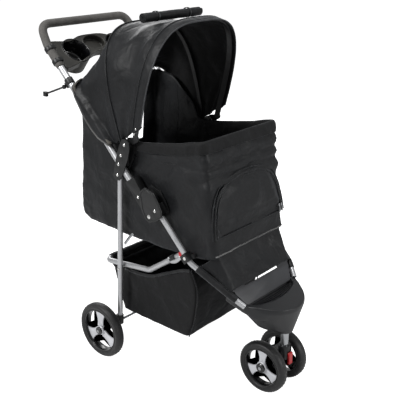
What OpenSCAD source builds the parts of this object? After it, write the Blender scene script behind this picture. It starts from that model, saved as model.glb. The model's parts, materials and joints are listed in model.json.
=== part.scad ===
// Three-wheel folding pet stroller.
// Millimetres, +Z up, front towards -Y, the user's right-hand side at -X.
// The ground is z = 0. Places are worked out with y = 0 at the rear axle, and
// in_frame() then moves the whole stroller so that its length is centred on y = 0.

/* [Frame] */
// Distance between the centre lines of the two side arms
frame_w = 344; // [300:1:420]
// Slope of the side arms above the horizontal, in degrees
arm_slope = 46.2; // [43:0.2:50]
// Outer diameter of the handle and arm tube
arm_d = 19; // [17:0.5:21]
// Outer diameter of the struts, rear legs and basket tube
leg_d = 15.5; // [13:0.5:17]
// Wall thickness of every tube
tube_wall = 1.5; // [1:0.25:2]
// Height of the fold pivots
pivot_h = 488; // [470:1:510]
// Distance of the fold pivots in front of the rear axle
pivot_y = 186; // [170:1:200]
// Height of the handle's centre line
handle_h = 962.5; // [940:0.5:1000]

/* [Wheels] */
// Distance from the rear axle to the front axle
wheel_base = 479; // [455:1:540]
// Diameter of the rear wheels
rear_wheel_d = 170; // [150:1:186]
// Diameter of the front wheels
front_wheel_d = 150; // [130:1:158]
// Width of every tyre
tyre_w = 29; // [24:0.5:34]
// Distance between the middles of the two rear tyres
rear_track = 425; // [405:1:480]
// Distance between the middles of the two front tyres
front_track = 95; // [88:1:110]
// Distance of the front axle behind the swivel axis
caster_trail = 36; // [30:1:42]
// Diameter of the rear axle
rear_axle_d = 8; // [7:0.5:10]
// Diameter of the front axle
front_axle_d = 10; // [8:0.5:12]

/* [Cabin] */
// Height of the cabin's fabric floor
floor_h = 413; // [408:1:420]
// Length of the cabin's floor
cabin_l = 499; // [470:1:505]
// Depth from the floor to the rim at the front
front_wall_h = 303; // [250:1:330]
// Depth from the floor to the rim at the side brackets
side_wall_h = 261; // [240:1:265]
// Thickness of the fabric walls
fabric_t = 3; // [2:0.5:4]

/* [Canopy] */
// Rise of the front bow above its ends
bow_rise = 314; // [290:1:330]
// Lean of the front bow towards the front, in degrees
front_lean = 14.4; // [10:0.2:18]
// Lean of the middle bow towards the rear, in degrees
mid_lean = 14; // [10:0.2:18]
// Width of the flat steel bows
bow_w = 18; // [12:1:22]

/* [Basket] */
// Height of the basket's bottom
basket_h = 137; // [125:1:160]
// Length of the basket's bottom
basket_l = 263; // [230:1:275]

/* [Parent tray] */
// Inside diameter of the cup holders
cup_d = 84; // [70:1:88]
// Depth of the cup holders
cup_depth = 52; // [40:1:60]

/* [Hidden] */

$fn = 36;
LEFT = 1;
RIGHT = -1;
// Clearance of a pin or shaft that turns in its hole
run_gap = 0.08;
// Gap between pieces that lie beside each other
side_gap = 0.4;
// Gap left around soft parts
soft_gap = 0.6;
pin_d = 5;
// Height of a rivet's domed head
head_h = 1.6;

// An elbow's lap over the straight stretches, in degrees, and its extra diameter
elbow_lap = 1;
elbow_bump = 0.1;

half_w = frame_w / 2;
arm_r = arm_d / 2;
leg_r = leg_d / 2;

// Side-view places are [y, z]. The arm line runs up and back from the fold pivot.
fold_pivot = [-pivot_y, pivot_h];
arm_u = [cos(arm_slope), sin(arm_slope)];
arm_v = [-sin(arm_slope), cos(arm_slope)];
function on_arm(s, v = 0) = fold_pivot + s * arm_u + v * arm_v;
// Height of the arm line at a place y
function on_arm_z(y) = pivot_h + (y + pivot_y) * tan(arm_slope);
function at_x(x, p) = [x, p[0], p[1]];
function unit(v) = v / norm(v);

// The struts lie beside the arm line, in front of it
strut_v = 29;
strut_top = on_arm(16, strut_v);
strut_bend = on_arm(-168, strut_v);
lock_plate_t = 3;
lock_core_t = arm_d + 3;
leg_pivot = on_arm(150, -arm_r - leg_r - 4.75);
bow_pivot = on_arm(194, 64);
arm_bend_s = 579;
handle_at = [248, handle_h];
foam_t = 2.75;
foam_start_s = 503;

// Rear legs
rear_r = rear_wheel_d / 2;
front_r = front_wheel_d / 2;
leg_foot = [-37, rear_r + 21];
leg_dir = unit(leg_foot - leg_pivot);
basket_pivot_drop = 294;
basket_pivot = leg_pivot + basket_pivot_drop * leg_dir;
basket_x = half_w - leg_d - 1.5;
basket_eye = on_arm(-132, 6);

// Cabin
cabin_half = half_w - lock_core_t / 2 - side_gap - lock_plate_t - head_h - soft_gap;
cabin_rear = 107;
cabin_front = cabin_rear - cabin_l;
front_rim = [cabin_front + 40, floor_h + front_wall_h];
side_rim = [-96, floor_h + side_wall_h];
door_base_h = 40;
door_h = 152;
door_face = 0.3;

// Bows
bow_half = half_w + arm_r + 0.2;
bow_t = 3;
front_bow_base = bow_pivot + [-30, 17];
mid_bow_base = bow_pivot + [24, 4];
mid_rise = bow_rise - 8;
hood_t = 2.5;
// How far the hood reaches in front of the front bow
hood_lip = 17;
flap_d = 20;
flap_half = 112;
flap_y = -110;
// Gap between the rolled flap and the middle bow, which turns under it
flap_gap = 0.9;
// Half the width of the way in at the back, under the rolled flap
rear_way_half = 98;

// Nose and caster
front_axle_y = -wheel_base;
stem_y = front_axle_y - caster_trail;
stem_d = 22;
stem_bottom = front_r + 45;
nose_bottom = front_r + 86;
flange_at = [front_axle_y + 49, 313];
flange_half = half_w - 35;
plug_at = [front_axle_y + 17, 283];
plug_half = half_w - 56;

module in_frame() {
    rearmost = handle_at[0] + arm_r + foam_t;
    foremost = front_axle_y - 79;
    translate([0, -(rearmost + foremost) / 2, 0]) children();
}

module on_side(side) {
    in_frame() mirror([side == LEFT ? 0 : 1, 0, 0]) children();
}

module both_sides() {
    on_side(LEFT) children();
    on_side(RIGHT) children();
}

// Round bar from a to b
module bar(a, b, d) {
    along = b - a;
    turn = atan2(along[1], along[0]);
    tilt = acos(along[2] / norm(along));
    translate(a) rotate([0, tilt, turn]) cylinder(d = d, h = norm(along));
}

// Bar across the stroller, through a side-view place
module cross_bar(p, x_from, x_to, d) {
    translate([x_from, p[0], p[1]]) rotate([0, 90, 0]) cylinder(d = d, h = x_to - x_from);
}

function bend_angle(p, i) = acos(min(1, unit(p[i] - p[i - 1]) * unit(p[i + 1] - p[i])));
function bend_trim(p, r, i) = i == 0 || i == len(p) - 1 ? 0 : r[i] * tan(bend_angle(p, i) / 2);

// Ring piece that rounds the corner at b. It is a hair thicker than the straight
// stretches and reaches a little over their ends, so that no two skins coincide.
module elbow(a, b, c, r, d) {
    go = unit(b - a);
    leave = unit(c - b);
    angle = acos(go * leave);
    inward = unit(leave - (go * leave) * go);
    centre = b - go * r * tan(angle / 2) + inward * r;
    up = cross(-inward, go);
    multmatrix([
        [-inward[0], go[0], up[0], centre[0]],
        [-inward[1], go[1], up[1], centre[1]],
        [-inward[2], go[2], up[2], centre[2]]
    ]) rotate(-elbow_lap) rotate_extrude(angle = angle + 2 * elbow_lap) translate([r, 0]) circle(d = d + elbow_bump);
}

// Round bar along the points p with bend radii r
module bent_bar(p, r, d) {
    for (i = [0 : len(p) - 2]) {
        along = unit(p[i + 1] - p[i]);
        bar(p[i] + along * bend_trim(p, r, i), p[i + 1] - along * bend_trim(p, r, i + 1), d);
    }
    for (i = [1 : 1 : len(p) - 2]) elbow(p[i - 1], p[i], p[i + 1], r[i], d);
}

// The same as a tube, open at both ends
module bent_tube(p, r, d, wall = tube_wall) {
    last = len(p) - 1;
    longer = [for (i = [0 : last]) i == 0 ? p[0] + unit(p[0] - p[1])
        : i == last ? p[last] + unit(p[last] - p[last - 1]) : p[i]];
    difference() {
        bent_bar(p, r, d);
        bent_bar(longer, r, d - 2 * wall);
    }
}

// Plate with a side-view outline, from x_from to x_from + t
module side_plate(outline, x_from, t) {
    translate([x_from, 0, 0]) rotate([90, 0, 90]) linear_extrude(t) polygon(outline);
}

// ---------------------------------------------------------------- arms and handle
handle_path = [
    at_x(-half_w, on_arm(26)), at_x(-half_w, on_arm(arm_bend_s)), at_x(-half_w + 5, handle_at),
    at_x(half_w - 5, handle_at), at_x(half_w, on_arm(arm_bend_s)), at_x(half_w, on_arm(26))
];
handle_bends = [0, 60, 36, 36, 60, 0];
foam_path = [
    at_x(-half_w, on_arm(foam_start_s)), at_x(-half_w, on_arm(arm_bend_s)), at_x(-half_w + 5, handle_at),
    at_x(half_w - 5, handle_at), at_x(half_w, on_arm(arm_bend_s)), at_x(half_w, on_arm(foam_start_s))
];

module rivet_hole(p, d = pin_d) {
    cross_bar(p, half_w - 40, half_w + 40, d + 2 * run_gap);
}

module handle_tube() {
    color("silver") difference() {
        bent_tube(handle_path, handle_bends, arm_d);
        for (side = [LEFT, RIGHT]) {
            for (p = [on_arm(62), on_arm(169, 4)]) {
                mirror([side == LEFT ? 0 : 1, 0, 0]) rivet_hole(p);
            }
        }
    }
}

module foam_grip() {
    color("dimgray") bent_tube(foam_path, handle_bends, arm_d + 2 * foam_t, foam_t - 0.05);
}

// ---------------------------------------------------------------- parent tray
tray_tilt = 40;
tray_at = [195, 885];
tray_wall = 3;
tray_half = half_w - arm_r - foam_t - side_gap;
cup_x = tray_half / 2 + 4;

module tray_frame() {
    translate(at_x(0, tray_at)) rotate([tray_tilt, 0, 0]) children();
}

// Half of the deck's outline, mirrored across the middle
module deck_outline() {
    right = [
        [0, 52], [40, 50], [62, 43], [cup_x + 10, 37], [tray_half - 30, 40], [tray_half, 45],
        [tray_half, -57], [cup_x + 20, -50], [cup_x - 20, -40], [30, -19], [0, -13]
    ];
    polygon(right);
    mirror([1, 0]) polygon(right);
}

module parent_tray() {
    cup_outer = cup_d + 2 * tray_wall;
    color([0.18, 0.18, 0.19]) tray_frame() difference() {
        union() {
            translate([0, 0, -tray_wall]) linear_extrude(tray_wall) deck_outline();
            for (x = [-cup_x, cup_x]) translate([x, 0, -cup_depth]) cylinder(d = cup_outer, h = cup_depth, $fn = 72);
            translate([0, 22, -24]) cylinder(d = 2 * (cup_x - cup_d / 2), h = 24, $fn = 72);
            for (x = [-tray_half, tray_half - tray_wall]) translate([x, -57, -24]) cube([tray_wall, 102, 24]);
        }
        for (x = [-cup_x, cup_x]) {
            translate([x, 0, tray_wall - cup_depth]) cylinder(d = cup_d, h = cup_depth, $fn = 72);
        }
        translate([0, 22, tray_wall - 24]) cylinder(d = 2 * (cup_x - cup_d / 2) - 2 * tray_wall, h = 24, $fn = 72);
    }
}

// Two straps a side that hang the tray on the grip
module tray_clamps() {
    grip_d = arm_d + 2 * foam_t;
    color([0.15, 0.15, 0.16]) for (s = [522, 566]) translate(at_x(half_w, on_arm(s))) {
        rotate([arm_slope - 90, 0, 0]) difference() {
            union() {
                cylinder(d = grip_d + 5, h = 12, center = true);
                translate([-grip_d / 2 - side_gap, -grip_d / 2 - 2, -6]) cube([grip_d / 2, grip_d / 2, 12]);
            }
            cylinder(d = grip_d + 0.1, h = 13, center = true);
            translate([-grip_d, -grip_d, -7]) cube([grip_d - grip_d / 2 - side_gap, 2 * grip_d, 14]);
        }
    }
}

// ---------------------------------------------------------------- side brackets
bracket_outline = [for (p = [
    [210, 68], [203, 80], [188, 84], [173, 72], [157, 46], [147, 18], [136, -10], [134, -26],
    [144, -37], [158, -36], [170, -16], [186, 10], [200, 40]
]) on_arm(p[0], p[1])];
bracket_rivet = on_arm(181, 31);
tube_rivet = on_arm(169, 4);
bracket_t = 3;
bracket_x = arm_r + 0.1;

module side_bracket() {
    sleeve_outline = [for (p = [[152, -11], [152, 16], [186, 44], [196, 36], [178, -11]]) on_arm(p[0], p[1])];
    color([0.13, 0.13, 0.14]) difference() {
        union() {
            side_plate(bracket_outline, half_w + bracket_x, bracket_t);
            side_plate(bracket_outline, half_w - bracket_x - bracket_t, bracket_t);
            side_plate(sleeve_outline, half_w - bracket_x, 2 * bracket_x);
        }
        bar(at_x(half_w, on_arm(120)), at_x(half_w, on_arm(230)), arm_d + 0.1);
        for (p = [bracket_rivet, tube_rivet, leg_pivot, bow_pivot]) rivet_hole(p);
    }
}

// Rivet across one side, with a domed head at each end
module rivet(p, reach_in, reach_out, d = pin_d, head = 9) {
    cross_bar(p, half_w - reach_in, half_w + reach_out, d);
    for (end = [-1, 1]) {
        translate(at_x(half_w + (end < 0 ? -reach_in : reach_out), p)) rotate([0, 90 * end, 0])
            rotate_extrude() intersection() {
                dome_r = (head * head / 4 + head_h * head_h) / (2 * head_h);
                translate([0, head_h - dome_r]) circle(r = dome_r, $fn = 96);
                square([head, head_h]);
            }
    }
}

module bracket_rivets() {
    reach = bracket_x + bracket_t;
    color("gainsboro") {
        for (p = [bracket_rivet, tube_rivet, bow_pivot]) rivet(p, reach, reach);
        rivet(on_arm(62), lock_core_t / 2, lock_core_t / 2, pin_d, 8.4);
    }
}

// ---------------------------------------------------------------- fold locks
eye_r = 13;
upper_core = [for (p = [
    [118, -11], [112, 27], [72, 24], [40, 22], [14, 14], [0, eye_r], [-9, 9], [-eye_r, 0], [-9, -9],
    [0, -eye_r], [34, -12]
]) on_arm(p[0], p[1])];
lower_leaf = [for (p = [
    [69, 20], [67, 48], [51, 56], [39, 64], [10, 61], [-15, 54], [-25, 42], [-24, 18],
    [-14, -11], [2, -16], [29, -10], [49, 4]
]) on_arm(p[0], p[1])];
strut_fill = [for (p = [[14, 22], [12, 50], [-18, 46], [-24, 32], [-22, 20], [-8, 22]]) on_arm(p[0], p[1])];
lock_pin_d = 8;
strut_rivet = on_arm(0, strut_v + 2);
core_half = lock_core_t / 2;
leaf_in = core_half + side_gap;

module upper_lock() {
    color([0.15, 0.15, 0.16]) difference() {
        side_plate(upper_core, half_w - core_half, lock_core_t);
        bar(at_x(half_w, on_arm(26)), at_x(half_w, on_arm(140)), arm_d + 0.1);
        cross_bar(fold_pivot, half_w - 20, half_w + 20, lock_pin_d + 2 * run_gap);
        rivet_hole(on_arm(62));
    }
}

module lower_lock() {
    color([0.17, 0.17, 0.18]) difference() {
        union() {
            side_plate(lower_leaf, half_w + leaf_in, lock_plate_t);
            side_plate(lower_leaf, half_w - leaf_in - lock_plate_t, lock_plate_t);
            side_plate(strut_fill, half_w - leaf_in, 2 * leaf_in);
        }
        bar(at_x(half_w, on_arm(-60, strut_v)), at_x(half_w, strut_top), leg_d + 0.1);
        cross_bar(fold_pivot, half_w - 20, half_w + 20, lock_pin_d + 2 * run_gap);
        rivet_hole(strut_rivet);
        cross_bar(on_arm(62), half_w - 20, half_w + 20, 13);
    }
}

module lock_rivets() {
    reach = leaf_in + lock_plate_t;
    color("gainsboro") {
        rivet(fold_pivot, reach, reach, lock_pin_d, 12);
        rivet(strut_rivet, reach, reach);
    }
}

module lock_latch() {
    latch_outline = [for (p = [[22, 27], [20, 46], [34, 50], [56, 44], [60, 29], [40, 26]]) on_arm(p[0], p[1])];
    color([0.1, 0.1, 0.1]) side_plate(latch_outline, half_w - core_half, lock_core_t);
}

// ---------------------------------------------------------------- front struts
strut_path = [
    at_x(half_w, on_arm(14, strut_v)), at_x(half_w, strut_bend), at_x(flange_half, flange_at), at_x(plug_half, plug_at)
];

module front_strut() {
    color("silver") difference() {
        bent_tube(strut_path, [0, 45, 60, 0], leg_d);
        rivet_hole(strut_rivet);
        rivet_hole(block_bolt);
    }
}

block_at = on_arm(-152, strut_v);
block_bolt = on_arm(-150, strut_v);

// Joint block around each strut, just above its bend, with an arm that holds the floor rod
module strut_blocks() {
    outline = [for (p = [
        [-138, strut_v + 11], [-138, strut_v - 12], [-162, strut_v - 12], [-162, strut_v + 11]
    ]) on_arm(p[0], p[1])];
    color([0.12, 0.12, 0.13]) difference() {
        union() {
            side_plate(outline, half_w - leg_r - 3, leg_d + 6);
            cross_bar([block_rod_y, rod_h - 3], rod_x - 5, half_w - 4, 12);
        }
        bar(at_x(half_w, on_arm(-170, strut_v)), at_x(half_w, on_arm(-130, strut_v)), leg_d + 0.1);
        rivet_hole(block_bolt);
        floor_rods(rod_d + 0.1);
    }
}

module strut_caps() {
    color("white") rivet(block_bolt, leg_r + 3, leg_r + 3, pin_d, 10);
}

// ---------------------------------------------------------------- cabin
rod_d = 9;
rod_x = cabin_half - 20;
rod_h = floor_h - rod_d / 2 - side_gap;
block_rod_y = block_at[0] - 14;
function floor_rod_at(y) = [y, rod_h];

module floor_rods(d) {
    cabin_rod = [
        [rod_x, cabin_front + 4, rod_h], [rod_x, cabin_rear - 30, rod_h],
        [-rod_x, cabin_rear - 30, rod_h], [-rod_x, cabin_front + 4, rod_h]
    ];
    bent_bar(cabin_rod, [0, 30, 30, 0], d);
}

module floor_frame() {
    color("silver") {
        floor_rods(rod_d);
        cross_bar(floor_rod_at(-60), -rod_x, rod_x, rod_d);
    }
}

module floor_cushion() {
    inset = fabric_t + 6;
    color([0.2, 0.2, 0.21]) translate([-cabin_half + inset, cabin_front + 22, floor_h + fabric_t + soft_gap])
        cube([2 * (cabin_half - inset), cabin_l - 46, 18]);
}

// Side view of the cabin, grown inwards by t
module cabin_profile(t) {
    low = floor_h + t;
    polygon([
        [cabin_front + 2 + t, low], [front_rim[0] + t, front_rim[1]], [side_rim[0] - 120, side_rim[1] + 4],
        side_rim, [-34, side_rim[1] + 61], [40, 796], [cabin_rear - 6 - t, 796], [cabin_rear - t, 780],
        [cabin_rear - t, low + 12], [cabin_rear - 12 - t, low]
    ]);
}

module cabin_solid(t) {
    rotate([90, 0, 90]) translate([0, 0, -cabin_half + t]) linear_extrude(2 * (cabin_half - t)) cabin_profile(t);
}

// D-shaped front door, drawn in the plane of the front wall
module door_outline(t) {
    w = cabin_half - 26 - t;
    translate([0, door_base_h + t]) square([2 * w, 60 - t], center = false);
    difference() {
        translate([w, door_base_h + 60]) upper_arch(w, door_h - 60 - t);
        translate([0, 0]) square([2 * w, door_base_h + 60]);
    }
}

// Round-shouldered arch of half-width w and height h; pinch draws its feet in
function arch(w, h, p, n = 32, pinch = 0) = [for (i = [0 : n])
    let(a = 180 * i / n, up = pow(sin(a), 2 / p))
    [w * sign(cos(a)) * pow(abs(cos(a)), 2 / p) * (1 - pinch * pow(1 - up, 2)), h * up]];

module upper_arch(w, h) {
    polygon(arch(w, h, 2.6));
}

wall_lean = atan2(front_rim[0] - cabin_front - 2, front_wall_h);

module on_front_wall() {
    translate([0, cabin_front + 2, floor_h]) rotate([90 - wall_lean, 0, 0]) children();
}

module cabin_body() {
    door_hole_w = cabin_half - 26;
    color([0.16, 0.16, 0.17]) difference() {
        cabin_solid(0);
        difference() {
            translate([0, 0, 0.01]) cabin_solid(fabric_t);
            translate([-cabin_half, cabin_front, floor_h - 1]) cube([2 * cabin_half, cabin_l + 10, fabric_t + 1]);
        }
        rim_cut();
        on_front_wall() translate([-door_hole_w, 0, -20]) linear_extrude(40) door_outline(0);
        translate([-rear_way_half, cabin_rear - 30, floor_h + 179]) cube([2 * rear_way_half, 60, 220]);
    }
}

// Takes the lid off the hollow, so that the cabin is open at the top
module rim_cut() {
    inner = cabin_half - fabric_t;
    rotate([90, 0, 90]) translate([0, 0, -inner]) linear_extrude(2 * inner) polygon([
        [front_rim[0] + fabric_t, front_rim[1] + 1], [front_rim[0] + fabric_t, front_rim[1] - 60],
        [side_rim[0], side_rim[1] - 40], [cabin_rear - fabric_t, 740], [cabin_rear - fabric_t - 6, 830],
        [20, 830], [-60, side_rim[1] + 90]
    ]);
}

module front_door() {
    door_hole_w = cabin_half - 26;
    color([0.2, 0.2, 0.21]) on_front_wall() translate([-door_hole_w + soft_gap, 0, door_face - fabric_t])
        linear_extrude(fabric_t) door_outline(soft_gap);
}

module door_zip_pulls() {
    color("silver") on_front_wall() for (x = [0, 12])
        translate([cabin_half - 48 + x, door_base_h + 3, door_face + 0.05]) cube([4, 22, 2]);
}

// ---------------------------------------------------------------- canopy
// Flat bow bent into an arch, whose feet stand at foot_x
module bow(base, lean, half, rise, width, foot_x) {
    pinch = 1 - foot_x / half;
    translate(at_x(0, base)) rotate([90 + lean, 0, 0]) linear_extrude(width, center = true) difference() {
        polygon(concat([[foot_x, -4]], arch(half, rise, 3.4, 32, pinch), [[-foot_x, -4]]));
        polygon(concat([[foot_x - bow_t, -5]], arch(half - bow_t, rise - bow_t, 3.4, 32, pinch), [[bow_t - foot_x, -5]]));
    }
}

// Tab between the pivot and a bow's foot
module bow_tab(base, width, foot_x) {
    end = base + unit(base - bow_pivot) * 6;
    x_from = foot_x - bow_t - 0.3;
    hull() {
        cross_bar(bow_pivot, x_from, x_from + bow_t, 16);
        cross_bar(end, x_from, x_from + bow_t, width);
    }
}

module pivoted_bow(base, lean, half, rise, width, foot_x) {
    difference() {
        union() {
            bow(base, lean, half, rise, width, foot_x);
            for (side = [0, 1]) mirror([side, 0, 0]) bow_tab(base, width, foot_x);
        }
        for (side = [0, 1]) mirror([side, 0, 0]) rivet_hole(bow_pivot);
    }
}

module front_bow() {
    color([0.1, 0.1, 0.11]) pivoted_bow(front_bow_base, front_lean, bow_half, bow_rise, bow_w, half_w);
}

// The middle bow nests inside the front one
module mid_bow() {
    color([0.1, 0.1, 0.11])
        pivoted_bow(mid_bow_base, -mid_lean, bow_half - bow_t - 1, mid_rise, 12, half_w - bow_t - 2 * side_gap);
}

// Volume under the hood, from the front bow over the middle bow to the rear edge.
// Grown by the cloth it is the hood; past opens its front and its underside.
module hood_volume(grow, past) {
    half = bow_half + soft_gap + grow;
    front_top = bow_rise + soft_gap + grow;
    mid_top = mid_rise + soft_gap + grow;
    reach = bow_w / 2 + 1;
    hull() {
        bow_slab(front_bow_base, front_lean, half, front_top, -reach, hood_lip + past, 22 - past);
        bow_slab(mid_bow_base, -mid_lean, half, mid_top, -reach, reach, 22 - past);
        rear_corner(half, [102 + grow + past * 0.35, on_arm_z(104) + 35 - past], 22);
        rear_corner(half, [30, on_arm_z(30) - 6 - past], 6);
    }
}

module rear_corner(half, p, d) {
    for (x = [-half, half - 36]) cross_bar(p, x, x + 36, d);
}

// Filled arch between two distances in front of a bow
module bow_slab(base, lean, half, rise, from, to, low) {
    translate(at_x(0, base)) rotate([90 + lean, 0, 0]) translate([0, 0, from]) linear_extrude(to - from)
        polygon(concat([[half, low]], [for (p = arch(half, rise, 3.4, 24)) if (p[1] > max(low, 0)) p], [[-half, low]]));
}

module hood_fabric() {
    color([0.14, 0.14, 0.15]) difference() {
        hood_volume(hood_t, 0);
        hood_volume(0, 30);
        translate([-rear_way_half, 24, 700]) cube([2 * rear_way_half, 120, 240]);
    }
}

module rolled_flap() {
    mid_top = mid_bow_base + mid_rise * [sin(mid_lean), cos(mid_lean)] + 6 * [cos(mid_lean), -sin(mid_lean)];
    reach = norm(mid_top - bow_pivot) + flap_gap + flap_d / 2;
    flap_z = bow_pivot[1] + sqrt(reach * reach - pow(flap_y - bow_pivot[0], 2));
    color([0.12, 0.12, 0.13]) cross_bar([flap_y, flap_z], -flap_half, flap_half, flap_d);
}

// ---------------------------------------------------------------- rear legs
module rear_leg() {
    color("silver") difference() {
        bent_tube([at_x(half_w, leg_pivot - 6 * leg_dir), at_x(half_w, leg_foot)], [0, 0], leg_d);
        rivet_hole(leg_pivot);
        rivet_hole(basket_pivot);
    }
}

module axle_mounts() {
    axle = [0, rear_r];
    color([0.12, 0.12, 0.13]) difference() {
        union() {
            hull() {
                cross_bar(axle, half_w - 10, half_w + 10, 24);
                bar(at_x(half_w, leg_foot + 2 * leg_dir), at_x(half_w, leg_foot - 26 * leg_dir), leg_d + 6);
            }
        }
        cross_bar(axle, half_w - 20, half_w + 20, rear_axle_d + 0.1);
        bar(at_x(half_w, leg_foot), at_x(half_w, leg_foot - 60 * leg_dir), leg_d + 0.1);
    }
}

module rear_axle() {
    reach = rear_track / 2 + tyre_w / 2 + 3;
    color("silver") cross_bar([0, rear_r], -reach, reach, rear_axle_d);
}

module leg_pins() {
    reach = bracket_x + bracket_t;
    color("gainsboro") {
        rivet(leg_pivot, reach, reach);
        rivet(basket_pivot, half_w - basket_x + leg_r + 1, leg_r + 0.5);
    }
}

module brake_pedal() {
    x_in = half_w + 10 + side_gap;
    color([0.12, 0.12, 0.13]) difference() {
        union() {
            cross_bar([0, rear_r], x_in, x_in + 5, 22);
            translate([x_in, 4, rear_r - 3]) cube([5, 34, 8]);
            translate([x_in - 22, 34, rear_r - 3]) cube([27, 18, 6]);
        }
        cross_bar([0, rear_r], x_in - 5, x_in + 10, rear_axle_d + 2 * run_gap);
    }
}

// ---------------------------------------------------------------- wheels
// Every wheel is drawn about its own centre, with its outer face towards +X
module tyre(r, w) {
    bead = r - 19;
    color([0.08, 0.08, 0.08]) rotate([0, 90, 0]) rotate_extrude($fn = 72) polygon(concat(
        [[bead, -w / 2 + 5], [bead + 6, -w / 2 + 1]],
        [for (a = [-60 : 15 : 60]) [r - w / 2 + 3 + (w / 2 - 3) * cos(a), w / 2 * sin(a) / sin(60)]],
        [[bead + 6, w / 2 - 1], [bead, w / 2 - 5]]
    ));
}

module rim(r, w, bore_d) {
    bead = r - 19;
    hub_w = w + 2;
    color([0.05, 0.05, 0.05]) rotate([0, 90, 0]) difference() {
        union() {
            rotate_extrude($fn = 72) polygon([
                [bead - 4, -w / 2 + 3], [bead, -w / 2 + 3], [bead, w / 2 - 3], [bead - 4, w / 2 - 3]
            ]);
            cylinder(d = 2 * bore_d + 8, h = hub_w, center = true, $fn = 48);
            difference() {
                translate([0, 0, -3]) cylinder(r = bead - 2, h = 5, $fn = 72);
                for (a = [60, 180, 300]) rotate(a) translate([bead * 0.58, 0, -5]) cylinder(d = bead * 0.52, h = 10);
            }
        }
        cylinder(d = bore_d + 2 * run_gap, h = hub_w + 2, center = true, $fn = 48);
    }
}

// Three-armed cover that snaps on the rim's outer side
module cover(r, w, bore_d) {
    bead = r - 19;
    color("whitesmoke") rotate([0, 90, 0]) translate([0, 0, 2 + side_gap]) difference() {
        union() {
            for (a = [0, 120, 240]) rotate(a + 180) linear_extrude(3) intersection() {
                polygon([[8, -9], [bead, -bead * 0.36], [bead, bead * 0.36], [8, 9]]);
                circle(r = bead - 4 - side_gap, $fn = 72);
            }
            cylinder(d = 2 * bore_d + 14, h = 6, $fn = 48);
        }
        translate([0, 0, -1]) cylinder(d = 2 * bore_d + 8.6, h = 9, $fn = 48);
    }
}

module rear_hub() {
    on_side_centre(rear_track / 2, [0, rear_r]) children();
}

module front_hub() {
    on_side_centre(front_track / 2, [front_axle_y, front_r]) children();
}

module on_side_centre(x, p) {
    translate([x, p[0], p[1]]) children();
}

// ---------------------------------------------------------------- basket
basket_bar = [32, basket_pivot[1] - 1];
basket_path = [
    at_x(basket_x, basket_eye), at_x(basket_x, [-152, 308]), at_x(basket_x, basket_bar),
    at_x(-basket_x, basket_bar), at_x(-basket_x, [-152, 308]), at_x(-basket_x, basket_eye)
];

module basket_tube() {
    color("silver") difference() {
        bent_tube(basket_path, [0, 30, 26, 26, 30, 0], leg_d);
        for (side = [0, 1]) mirror([side, 0, 0]) rivet_hole(basket_pivot);
    }
}

module basket_clips() {
    along = unit(basket_eye - [-152, 308]);
    color([0.1, 0.1, 0.1]) difference() {
        bar(at_x(basket_x, basket_eye - 52 * along), at_x(basket_x, basket_eye - 30 * along), leg_d + 6);
        bar(at_x(basket_x, basket_eye - 60 * along), at_x(basket_x, basket_eye), leg_d + 0.1);
    }
}

module link_caps() {
    along = unit(basket_eye - [-152, 308]);
    color("red") difference() {
        bar(at_x(basket_x, basket_eye - 8 * along), at_x(basket_x, basket_eye + 3 * along), leg_d + 4);
        bar(at_x(basket_x, basket_eye - 9 * along), at_x(basket_x, basket_eye), leg_d + 0.1);
    }
}

sleeve_d = leg_d + 8;
basket_half = basket_x - leg_r - soft_gap;

module basket_profile(t) {
    rear = -22;
    front = rear - basket_l;
    polygon([
        [rear - t, basket_h + t], [front + t, basket_h + t], [front - 31 + t, 268], [front - 15 + t, 340],
        [-197, 303], [-146, 286], [-40, 274], basket_bar - 0.7 * (sleeve_d / 2 + side_gap) * [1, 1]
    ]);
}

module basket_body() {
    color([0.15, 0.15, 0.16]) difference() {
        rotate([90, 0, 90]) translate([0, 0, -basket_half]) linear_extrude(2 * basket_half) basket_profile(0);
        difference() {
            rotate([90, 0, 90]) translate([0, 0, -basket_half + fabric_t])
                linear_extrude(2 * (basket_half - fabric_t)) basket_skin_profile(fabric_t);
        }
    }
}

// The hollow of the basket, open at the top
module basket_skin_profile(t) {
    rear = -22;
    front = rear - basket_l;
    polygon([
        [rear - t, basket_h + t], [front + t, basket_h + t], [front - 31 + t, 268], [front - 15 + t, 345],
        [-197, 330], [-146, 310], [-40, 300], basket_bar - 0.7 * (sleeve_d / 2 + side_gap) * [1, 1] + [-t - 1, 20]
    ]);
}

module basket_sleeve() {
    color([0.15, 0.15, 0.16]) difference() {
        cross_bar(basket_bar, -basket_x + 30, basket_x - 30, sleeve_d);
        cross_bar(basket_bar, -basket_x, basket_x, leg_d + 0.1);
    }
}

// ---------------------------------------------------------------- nose tray and foot panel
// Flat slice of the nose at one height, round at the front
module nose_slice(z, half, rear, front, t = 2) {
    translate([0, 0, z]) linear_extrude(t) intersection() {
        translate([0, rear]) polygon(arch_down(half, rear - front));
        translate([-half, front]) square([2 * half, rear - front]);
    }
}

function arch_down(w, h) = [for (p = arch(w, h, 2.3, 24)) [p[0], -p[1]]];

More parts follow.
